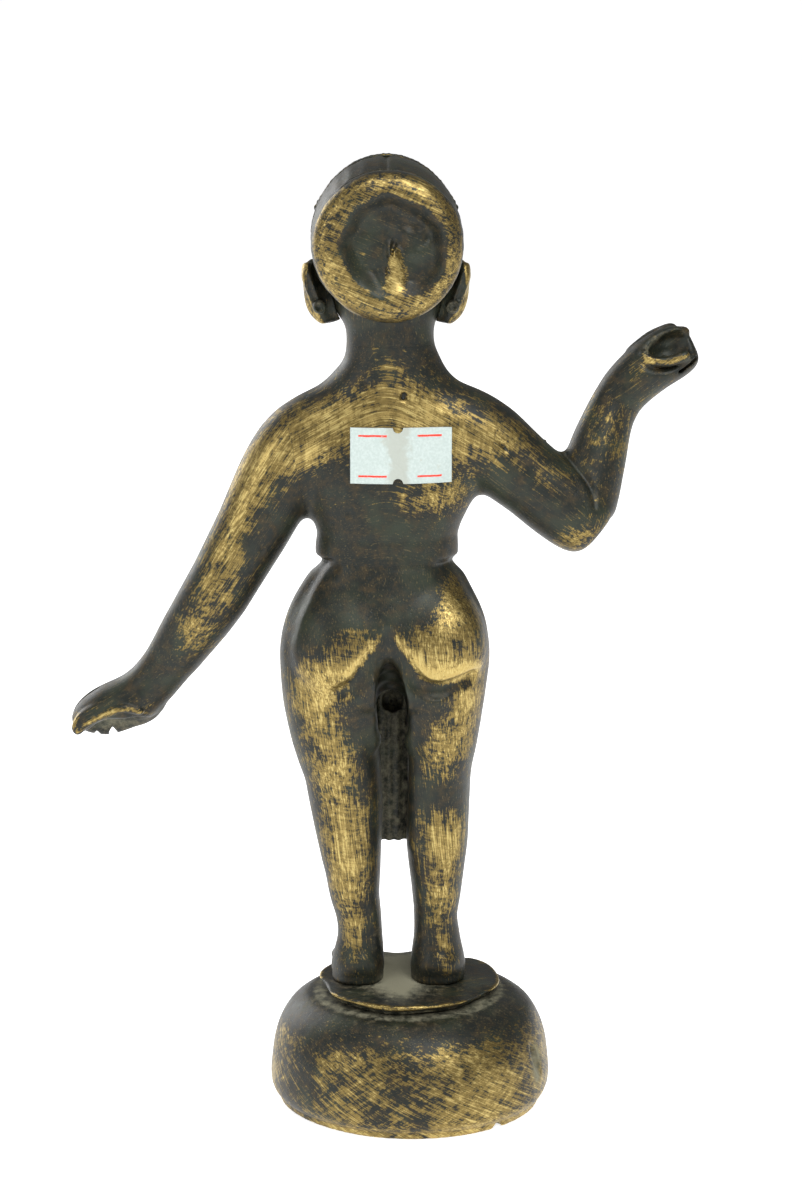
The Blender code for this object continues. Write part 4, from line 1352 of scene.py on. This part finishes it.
def dome_paint(middle, flaw):
    """Rubbed sides and a bright foot, dark and dusty inside, dust in the groove below the step."""
    step_low, step_high = figure_box("plinth_step")
    step_middle = (step_low + step_high) / 2
    inner_radius, inner_top = 27.6, 21.5

    def paint(points, normal, ridge):
        x, y, z = points.T
        around = np.arctan2(y - middle[1], x - middle[0])
        foot = smoothstep((3.4 - z) / 3.0) * smoothstep((z + 0.2) / 0.5)
        side = 0.5 + 0.12 * np.sin(3 * around + 1.0) + 0.1 * np.sin(7 * around)
        side = side * smoothstep((21.5 - z) / 5.0) + 0.12
        side = side - 0.28 * smoothstep((x - middle[0] - 12) / 12)
        inner = np.hypot(x - middle[0], y - middle[1]) < inner_radius
        inner = inner & (z < inner_top) & (normal[:, 2] < 0.3)
        shoulder = smoothstep((z - 21.0) / 2.0)
        from_step = np.hypot(x - step_middle[0], y - step_middle[1]) - step_high[1]
        in_groove = smoothstep((1.7 - from_step) / 1.4) * smoothstep((z - 22.0) / 0.7)
        outer_dust = 0.16 * shoulder + 0.22 * in_groove
        in_flaw = spots(points, [((flaw[0], flaw[1], 11.5), (2.2, 3.0, 5.0), 0.9)])
        return {"wear_and_sheen": np.where(inner, -0.6, side + 0.45 * foot) - 0.2 * shoulder,
                "ridge": ridge, "dust": np.where(inner, 0.45, outer_dust) + in_flaw}

    return paint


def plinth_dome_piece():
    """A thick uneven bell, scratched all over, with a chip in its foot and a flaw in its side."""
    low, high = figure_box("plinth_dome")
    middle = (low + high) / 2
    field = small_field(small_form("plinth_dome", 1.1), BODY_STEP * 1.15)
    carry_down(field, 1.2)
    roughen(field, 16.0, 0.35, 8)
    roughen(field, 5.0, 0.10, 9)
    flaw = middle + np.array([-27.6, 12.6, 0])
    field.cut(ellipsoid((flaw[0], flaw[1], 11.5), (1.3, 2.6, 4.6), (0, 24, 25)), 0.3)
    chip = middle + np.array([-18.0, 20.8, 0])
    field.cut(ellipsoid((chip[0], chip[1], 0.0), (1.2, 1.6, 1.5)), 0.4)
    keep_above(field, 0.0)
    return meshed("plinth_dome_casting", field, dome_paint(middle, flaw))


def plinth_step_piece():
    """The thin disc under the feet: bright edge, dust in the groove below it and on top."""
    low, high = figure_box("plinth_step")
    middle = (low + high) / 2
    top = high[2]
    field = small_field(small_form("plinth_step", 0.7), TRIM_STEP * 1.2)

    def uneven(x, y, z):
        around = np.arctan2(y - middle[1], x - middle[0])
        outside = smoothstep((np.hypot(x - middle[0], y - middle[1]) - 15.0) / 3.0)
        return outside * (0.22 * np.sin(3 * around + 0.7) + 0.12 * np.sin(8 * around))

    field.press(low - 1, high + 1, uneven)
    roughen(field, *FINE_WAVES)
    z = field.line(2)[None, None, :]
    field.values = np.maximum(field.values, z - top)
    field.values = np.maximum(field.values, low[2] - 0.22 - z)

    def paint(points, normal, ridge):
        x, y, z = points.T
        radius = np.hypot(x - middle[0], y - middle[1])
        edge = smoothstep((radius - 18.6) / 0.8) * smoothstep((z - top + 1.4) / 0.6)
        under = smoothstep((top - 1.2 - z) / 0.4)
        between_feet = [((-2.6, -2, top), (4.0, 14.5, 2.0), 0.75)]
        all_over = [((-2.6, -2, top), (16.0, 18.0, 2.0), 0.4)]
        dust = spots(points, between_feet + all_over)
        return {"wear_and_sheen": 0.05 + 0.85 * edge, "ridge": ridge,
                "dust": dust * (1 - edge) + 0.2 * under}

    return meshed("plinth_step_casting", field, paint, smoothing=1)


# ---------------------------------------------------------------- paper label

LABEL_LIFT = 0.5                # the paper's lower edge, above that of the node's box
LABEL_NOTCH = 1.1               # radius of the notch in each long edge
LABEL_NOTCH_AT = 0.03           # how far the notches are from the middle, as a share of the width
DASH_ROWS = (0.135, 0.855)      # heights of the rows of dashes, as shares of the label's height
DASH_SPANS = ((0.10, 0.34), (0.64, 0.92))   # the ends of each dash, as shares of the width
DASH_HALF_WIDTH = 0.2


def label_piece(body_form):
    """A thin paper sheet that follows the back, with a notch in each long edge."""
    low, high = figure_box("price_label")
    low[2] += LABEL_LIFT
    width, height = high[0] - low[0], high[2] - low[2]
    columns, rows = 84, 48
    notch_x = low[0] + width * (0.5 + LABEL_NOTCH_AT)
    bm = bmesh.new()
    grid = {}
    for i in range(columns + 1):
        for j in range(rows + 1):
            x = low[0] + width * i / columns
            z = low[2] + height * j / rows
            across = (x - notch_x) / LABEL_NOTCH
            if abs(across) < 1:
                bite = LABEL_NOTCH * math.sqrt(1 - across ** 2)
                z = low[2] + bite + (height - 2 * bite) * j / rows
            back = body_form.on_surface(x, z, 1)[1]
            crease = 0.10 * math.exp(-((x - notch_x + 1.2 * math.sin(z)) / 0.5) ** 2)
            corner = max(abs(x - (low[0] + high[0]) / 2) / width - 0.44, 0) * 2.5
            y = back + 0.30 + crease + corner * 1.0
            grid[i, j] = bm.verts.new((np.array([x, y, z]) + FIGURE_ORIGIN) * MM)
    for i in range(columns):
        for j in range(rows):
            bm.faces.new((grid[i, j], grid[i, j + 1], grid[i + 1, j + 1], grid[i + 1, j]))
    bmesh.ops.recalc_face_normals(bm, faces=bm.faces)
    item = temporary("price_label_paper", bm)
    paper = item.modifiers.new("thickness", "SOLIDIFY")
    paper.thickness = 0.12 * MM
    paper.offset = -1.0
    item.data.shade_smooth()
    item.data.set_sharp_from_angle(angle=math.radians(40))
    return item


# ---------------------------------------------------------------- materials

def add_node(tree, kind, inputs=None, **settings):
    made = tree.nodes.new("ShaderNode" + kind)
    for key, value in settings.items():
        setattr(made, key, value)
    for key, value in (inputs or {}).items():
        socket = made.inputs[key]
        if isinstance(value, bpy.types.NodeSocket):
            tree.links.new(value, socket)
        else:
            socket.default_value = value
    return made


def maths(tree, operation, a, b=0.0):
    return add_node(tree, "Math", {0: a, 1: b}, operation=operation).outputs[0]


def weighed(tree, terms, start=0.0):
    """start + the sum of weight * value over the terms."""
    total = start
    for value, weight in terms:
        total = add_node(tree, "Math", {0: value, 1: weight, 2: total},
                         operation="MULTIPLY_ADD").outputs[0]
    return total


def ramp(tree, value, low, high):
    """0 below low, 1 above high, smooth between."""
    made = add_node(tree, "MapRange", {"Value": value, "From Min": low, "From Max": high},
                    interpolation_type="SMOOTHSTEP")
    return made.outputs["Result"]


def mixed(tree, factor, a, b):
    made = add_node(tree, "Mix", data_type="RGBA")
    for socket, value in zip((made.inputs[0], made.inputs[6], made.inputs[7]), (factor, a, b)):
        if isinstance(value, bpy.types.NodeSocket):
            tree.links.new(value, socket)
        else:
            socket.default_value = value
    return made.outputs[2]


def mixed_value(tree, factor, a, b):
    return add_node(tree, "Mix", {0: factor, 2: a, 3: b}, data_type="FLOAT").outputs[0]


def noise(tree, place, size, detail=3.0, roughness=0.55):
    """Solid noise with features about size millimetres across."""
    made = add_node(tree, "TexNoise", {"Vector": place, "Scale": 1 / (size * MM), "Detail": detail,
                                       "Roughness": roughness})
    return made.outputs["Fac"]


def streaks(tree, place, along, length, width, detail=2.0):
    """Noise drawn out along a direction, like polishing marks."""
    turn = Vector(along).to_track_quat("X", "Z").to_euler()
    local = add_node(tree, "Mapping", {"Vector": place, "Rotation": turn,
                                       "Scale": (length * MM, width * MM, width * MM)},
                     vector_type="TEXTURE").outputs[0]
    made = add_node(tree, "TexNoise", {"Vector": local, "Scale": 1.0, "Detail": detail,
                                       "Roughness": 0.6})
    return made.outputs["Fac"]


def attribute(tree, name):
    return add_node(tree, "Attribute", attribute_name=name).outputs["Fac"]


def rgb(red, green, blue):
    return (red, green, blue, 1.0)


BRASS = rgb(0.44, 0.325, 0.115)
PALE_BRASS = rgb(0.56, 0.45, 0.18)
DULL_BRASS = rgb(0.20, 0.145, 0.052)
DARK_PATINA = rgb(0.009, 0.0115, 0.009)
BROWN_PATINA = rgb(0.042, 0.029, 0.012)
OLIVE_PATINA = rgb(0.022, 0.028, 0.017)
DUST = rgb(0.22, 0.21, 0.145)
PAPER = rgb(0.43, 0.50, 0.475)
PALE_PAPER = rgb(0.50, 0.57, 0.545)
RUBBED_PAPER = rgb(0.38, 0.40, 0.35)
SOILED_PAPER = rgb(0.42, 0.43, 0.37)
DASH_RED = rgb(0.80, 0.05, 0.03)


def mirrored_place(tree, place):
    """Coordinates that are the same on both sides of the spine."""
    centre = add_node(tree, "VectorMath", {0: place, 1: (-FIGURE_X * MM, 0, 0)}).outputs[0]
    apart = add_node(tree, "SeparateXYZ", {0: centre})
    squared = maths(tree, "MULTIPLY", apart.outputs[0], apart.outputs[0])
    outwards = maths(tree, "SQRT", maths(tree, "ADD", squared, (4.5 * MM) ** 2))
    return add_node(tree, "CombineXYZ", {0: outwards, 1: apart.outputs[1],
                                         2: apart.outputs[2]}).outputs[0]


def wrapped_place(tree, place):
    """Coordinates unrolled from the plinth: X runs round it, Y outwards and Z up."""
    low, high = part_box("plinth_dome")
    middle = (low + high) / 2
    centre = add_node(tree, "VectorMath", {0: place, 1: (-middle.x, -middle.y, 0)}).outputs[0]
    apart = add_node(tree, "SeparateXYZ", {0: centre})
    angle = maths(tree, "ARCTAN2", apart.outputs[0], apart.outputs[1])
    around = maths(tree, "MULTIPLY", angle, (high.x - low.x) / 2)
    flat = add_node(tree, "CombineXYZ", {0: apart.outputs[0], 1: apart.outputs[1]}).outputs[0]
    radius = add_node(tree, "VectorMath", {0: flat}, operation="LENGTH").outputs["Value"]
    return add_node(tree, "CombineXYZ", {0: around, 1: radius, 2: apart.outputs[2]}).outputs[0]


# How much each noise has to say in where the patina is worn through, and how hard it holds
WEAR_WEIGHTS = {"broad": 0.9, "patches": 1.4, "strokes": 1.6, "cross_strokes": 1.2, "fine": 1.9,
                "grain": 0.7}
PATINA_HOLD = 0.52


def finish_noises(tree, place, stroked, along, across):
    """The noises that the finish is mixed from."""
    return {"broad": noise(tree, place, 7.0, 3.0),
            "patches": noise(tree, place, 2.0, 6.0, 0.7),
            "strokes": streaks(tree, stroked, along, 11.0, 0.75, 4.0),
            "cross_strokes": streaks(tree, stroked, across, 7.0, 0.6, 3.0),
            "fine": streaks(tree, stroked, along, 7.0, 0.25, 3.0),
            "grain": noise(tree, place, 0.45, 3.0, 0.7)}


def rubbed_through_and_sheen(tree, noises):
    """Negative where the patina holds, positive where bare metal is shown: where the patina is worn
    through, and where the wear values carry painted sheen and highlights.
    """
    ridge = attribute(tree, "ridge")
    terms = [(attribute(tree, "wear_and_sheen"), 1.0), (ramp(tree, ridge, 0.22, 0.6), 0.55),
             (ramp(tree, ridge, 0.02, -0.3), -0.5)]
    terms += [(noises[name], weight) for name, weight in WEAR_WEIGHTS.items()]
    mean = 0.5 * sum(WEAR_WEIGHTS.values())
    return weighed(tree, terms, -mean - PATINA_HOLD)


def patina_colour(tree, noises):
    patina = mixed(tree, ramp(tree, noises["patches"], 0.42, 0.72), DARK_PATINA, BROWN_PATINA)
    patina = mixed(tree, ramp(tree, noises["broad"], 0.42, 0.72), patina, OLIVE_PATINA)
    scuffs = ramp(tree, weighed(tree, [(noises["fine"], 1.0), (noises["grain"], 0.6)]), 0.86, 1.12)
    return mixed(tree, maths(tree, "MULTIPLY", scuffs, 0.5), patina, DULL_BRASS)


def metal_colour(tree, noises, polished, specks):
    metal = mixed(tree, polished, DULL_BRASS, BRASS)
    shine = maths(tree, "MULTIPLY", polished, ramp(tree, noises["fine"], 0.45, 0.7))
    metal = mixed(tree, shine, metal, PALE_BRASS)
    return mixed(tree, maths(tree, "MULTIPLY", specks, 0.8), metal, BROWN_PATINA)


def aged_brass(name, along, across, unrolled=None):
    """Brass under a dark patina, rubbed bright along the polishing marks and on the ridges."""
    material = bpy.data.materials.new(name)
    material.use_nodes = True
    tree = material.node_tree
    shader = tree.nodes["Principled BSDF"]
    shader.inputs["Specular IOR Level"].default_value = 0.34
    place = add_node(tree, "TexCoord").outputs["Object"]
    stroked = unrolled(tree, place) if unrolled else place
    noises = finish_noises(tree, place, stroked, along, across)
    patches, fine, grain = noises["patches"], noises["fine"], noises["grain"]

    # bare brass here also stands for the painted sheen and highlights laid into the wear values
    rubbed = rubbed_through_and_sheen(tree, noises)
    bare = ramp(tree, rubbed, -0.13, 0.12)
    polished = ramp(tree, rubbed, 0.2, 0.9)
    specks = ramp(tree, grain, 0.58, 0.68)
    dust = [(attribute(tree, "dust"), 1.0), (patches, 0.9), (grain, 0.3)]
    dusted = ramp(tree, weighed(tree, dust, -0.75), 0.0, 0.5)

    metal = metal_colour(tree, noises, polished, specks)
    colour = mixed(tree, bare, patina_colour(tree, noises), metal)
    tree.links.new(mixed(tree, dusted, colour, DUST), shader.inputs["Base Color"])

    gloss = mixed_value(tree, bare, weighed(tree, [(patches, 0.35)], 0.28),
                        weighed(tree, [(fine, 0.25), (patches, 0.2)], 0.19))
    tree.links.new(mixed_value(tree, dusted, gloss, 0.95), shader.inputs["Roughness"])
    metallic = mixed_value(tree, bare, 0.2, 1.0)
    tree.links.new(mixed_value(tree, dusted, metallic, 0.0), shader.inputs["Metallic"])

    pits = ramp(tree, noise(tree, place, 1.0, 2.0), 0.36, 0.28)
    height = weighed(tree, [(noises["strokes"], 0.6), (fine, 0.35), (patches, 0.7), (pits, -0.7),
                            (specks, -0.3)])
    bump = add_node(tree, "Bump", {"Height": height, "Strength": 0.4, "Distance": 0.12 * MM})
    tree.links.new(bump.outputs["Normal"], shader.inputs["Normal"])
    return material


def step_mask(tree, value, low, high):
    """1 between low and high, 0 outside."""
    above = maths(tree, "GREATER_THAN", value, low)
    below = maths(tree, "LESS_THAN", value, high)
    return maths(tree, "MULTIPLY", above, below)


def red_dashes(tree, x, z, low, width, height):
    """1 on the four dashes near the label's corners, 0 elsewhere."""
    red = 0.0
    for level in DASH_ROWS:
        line = low.z + height * level
        row = step_mask(tree, z, line - DASH_HALF_WIDTH * MM, line + DASH_HALF_WIDTH * MM)
        for start, end in DASH_SPANS:
            dash = step_mask(tree, x, low.x + width * start, low.x + width * end)
            red = maths(tree, "MAXIMUM", red, maths(tree, "MULTIPLY", row, dash))
    return red


def paper_colour(tree, x, low, width, fibre, smudge):
    """Bluish white paper, grey where the middle was rubbed and soiled here and there."""
    middle = low.x + width / 2 + width * LABEL_NOTCH_AT
    off_centre = maths(tree, "ABSOLUTE", maths(tree, "SUBTRACT", x, middle))
    off_centre = maths(tree, "MULTIPLY", off_centre, 1 / (3.4 * MM))
    rubbed = ramp(tree, weighed(tree, [(off_centre, -1.0), (smudge, 1.6)], 0.1), 0.0, 0.5)
    paper = mixed(tree, ramp(tree, fibre, 0.35, 0.7), PAPER, PALE_PAPER)
    paper = mixed(tree, maths(tree, "MULTIPLY", rubbed, 0.8), paper, RUBBED_PAPER)
    return mixed(tree, ramp(tree, smudge, 0.62, 0.8), paper, SOILED_PAPER)


def label_paper():
    """White paper with four red dashes near its corners and a grey, rubbed middle."""
    low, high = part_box("price_label")
    low.z += LABEL_LIFT * MM
    width, height = high.x - low.x, high.z - low.z
    material = bpy.data.materials.new("label_paper")
    material.use_nodes = True
    tree = material.node_tree
    shader = tree.nodes["Principled BSDF"]
    place = add_node(tree, "TexCoord").outputs["Object"]
    apart = add_node(tree, "SeparateXYZ", {0: place})
    x, z = apart.outputs[0], apart.outputs[2]
    fibre = noise(tree, place, 0.5, 4.0)
    smudge = noise(tree, place, 2.5, 4.0, 0.65)
    wobble = maths(tree, "MULTIPLY", maths(tree, "SUBTRACT", smudge, 0.5), 0.3 * MM)
    red = red_dashes(tree, x, maths(tree, "ADD", z, wobble), low, width, height)
    red = maths(tree, "MULTIPLY", red, ramp(tree, fibre, 0.25, 0.4))
    paper = paper_colour(tree, x, low, width, fibre, smudge)
    tree.links.new(mixed(tree, red, paper, DASH_RED), shader.inputs["Base Color"])
    shader.inputs["Roughness"].default_value = 0.75
    shader.inputs["Specular IOR Level"].default_value = 0.3
    height_map = weighed(tree, [(fibre, 0.4), (smudge, 1.0)])
    bump = add_node(tree, "Bump", {"Height": height_map, "Strength": 0.5, "Distance": 0.15 * MM})
    tree.links.new(bump.outputs["Normal"], shader.inputs["Normal"])
    return material


# ---------------------------------------------------------------- scene

CAMERA_PLACE = (-4.1, 700.0, 263.0)     # millimetres, in the row's frame, behind the figure
CAMERA_LOOKS_DOWN = 12.3                # degrees
CAMERA_LENS = 101.3

# The lights: name, place and aim in metres, diameter in metres, watts
LIGHTS = [
    ("key", (-0.35, 0.85, 0.95), (0, 0, 0.1), 0.6, 9.0),
    ("fill", (0.9, 0.6, 0.5), (0, 0, 0.1), 0.6, 3.0),
    ("top_left", (0.22, 0.30, 1.1), (0, 0, 0.05), 0.22, 2.2),
    ("top_right", (-0.22, 0.30, 1.1), (0, 0, 0.05), 0.22, 2.2),
    ("front", (0.75, -0.85, 0.45), (0, 0, 0.1), 0.8, 7.0),
]


def place_camera():
    camera = bpy.data.objects.new("camera", bpy.data.cameras.new("camera"))
    camera.data.sensor_width = 36.0
    camera.data.lens = CAMERA_LENS
    camera.data.clip_start = 0.05
    camera.data.clip_end = 20.0
    camera.location = Vector(CAMERA_PLACE) * MM
    camera.rotation_euler = (math.radians(90 - CAMERA_LOOKS_DOWN), 0, math.radians(180))
    bpy.context.scene.collection.objects.link(camera)
    bpy.context.scene.camera = camera
    return camera


def area_light(name, place, aim, size, power):
    light = bpy.data.lights.new(name, "AREA")
    light.shape = "DISK"
    light.size = size
    light.energy = power
    item = bpy.data.objects.new(name, light)
    item.location = place
    item.rotation_euler = (Vector(aim) - Vector(place)).to_track_quat("-Z", "Y").to_euler()
    bpy.context.scene.collection.objects.link(item)
    return item


def glowing_floor():
    """White board, faintly lit from within so that it stays white as far as it reaches."""
    material = bpy.data.materials.new("floor_white")
    material.use_nodes = True
    shader = material.node_tree.nodes["Principled BSDF"]
    shader.inputs["Base Color"].default_value = rgb(0.92, 0.92, 0.92)
    shader.inputs["Roughness"].default_value = 0.9
    shader.inputs["Specular IOR Level"].default_value = 0.2
    shader.inputs["Emission Color"].default_value = rgb(1, 1, 1)
    shader.inputs["Emission Strength"].default_value = 0.76
    return material


def white_world(seen=1.05, cast=0.28):
    """A white surround: seen at full white, but casting a softer light on the figure."""
    world = bpy.data.worlds.new("white")
    world.use_nodes = True
    tree = world.node_tree
    background = tree.nodes["Background"]
    background.inputs["Color"].default_value = rgb(1, 1, 1)
    direct = add_node(tree, "LightPath").outputs["Is Camera Ray"]
    strength = add_node(tree, "Mix", {0: direct, 2: cast, 3: seen}, data_type="FLOAT").outputs[0]
    tree.links.new(strength, background.inputs["Strength"])
    return world


def studio():
    """A white floor in a white surround, with soft lights above, behind and in front."""
    bm = bmesh.new()
    bmesh.ops.create_grid(bm, x_segments=1, y_segments=1, size=8.0)
    floor = temporary("floor", bm)
    floor.data.materials.append(glowing_floor())
    lights = [area_light(*light) for light in LIGHTS]
    bpy.context.scene.world = white_world()
    bpy.context.scene.view_settings.view_transform = "Standard"
    place_camera()


def dress(item, node, material):
    """Let a visual piece stand for its node."""
    item.data.materials.clear()
    item.data.materials.append(material)
    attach(item, "root")
    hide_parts(node)


# For each casting, the directions of its polishing marks and of the marks that cross them
STROKES = {
    "hair_disc": ((1, 0, 0.4), (0.6, 0, -1)),
    "hair_band": ((1, 0, 0), (0, 1, 0)),
    "left_ear": ((0, 0, 1), (0, 1, 0.5)),
    "right_ear": ((0, 0, 1), (0, 1, 0.5)),
    "left_ear_stud": ((1, 0, 0), (0, 0, 1)),
    "right_ear_stud": ((1, 0, 0), (0, 0, 1)),
    "front_drape": ((0, 0, 1), (1, 0, 0)),
    "plinth_dome": ((1, 0, 0.55), (1, 0, -0.7)),
    "plinth_step": ((1, 0.5, 0), (1, -0.5, 0)),
    "head": ((0, 0.4, 1), (1, 0, 0.3)),
    "left_hand": ((0.8, 0, -0.5), (0.3, 0, 1)),
    "right_hand": ((-0.8, 0, 0.6), (0.6, 0, 0.8)),
    "lower_body": ((0.1, 0, 1), (1, 0, 0.15)),
    "torso": ((-1, 0, 0.6), (0.12, 0, 1)),
    "left_arm": ((0.55, 0, -0.83), (1, 0, 0.2)),
    "right_upper_arm": ((-0.8, 0, -0.6), (0.5, 0, -0.8)),
    "right_forearm": ((-0.3, 0, 0.95), (1, 0, 0.2)),
}
# Castings whose polishing marks follow unrolled coordinates
UNROLLED = {"torso": mirrored_place, "plinth_dome": wrapped_place}


def build():
    studio()
    form = Form(CASTINGS)
    castings = body_casting(form)
    castings.update(head_casting(form))
    castings.update(left_hand_casting(form))
    castings.update(right_hand_casting(form))
    castings["hair_disc"] = hair_disc_piece()
    castings["hair_band"] = hair_band_piece()
    for side in ("left", "right"):
        castings[f"{side}_ear"] = ear_piece(side, form)
        castings[f"{side}_ear_stud"] = stud_piece(side)
    castings["front_drape"] = drape_piece(form)
    castings["plinth_dome"] = plinth_dome_piece()
    castings["plinth_step"] = plinth_step_piece()
    for node, item in castings.items():
        material = aged_brass(f"{node}_patina", *STROKES[node], UNROLLED.get(node))
        dress(item, node, material)
    dress(label_piece(form), "price_label", label_paper())


build()
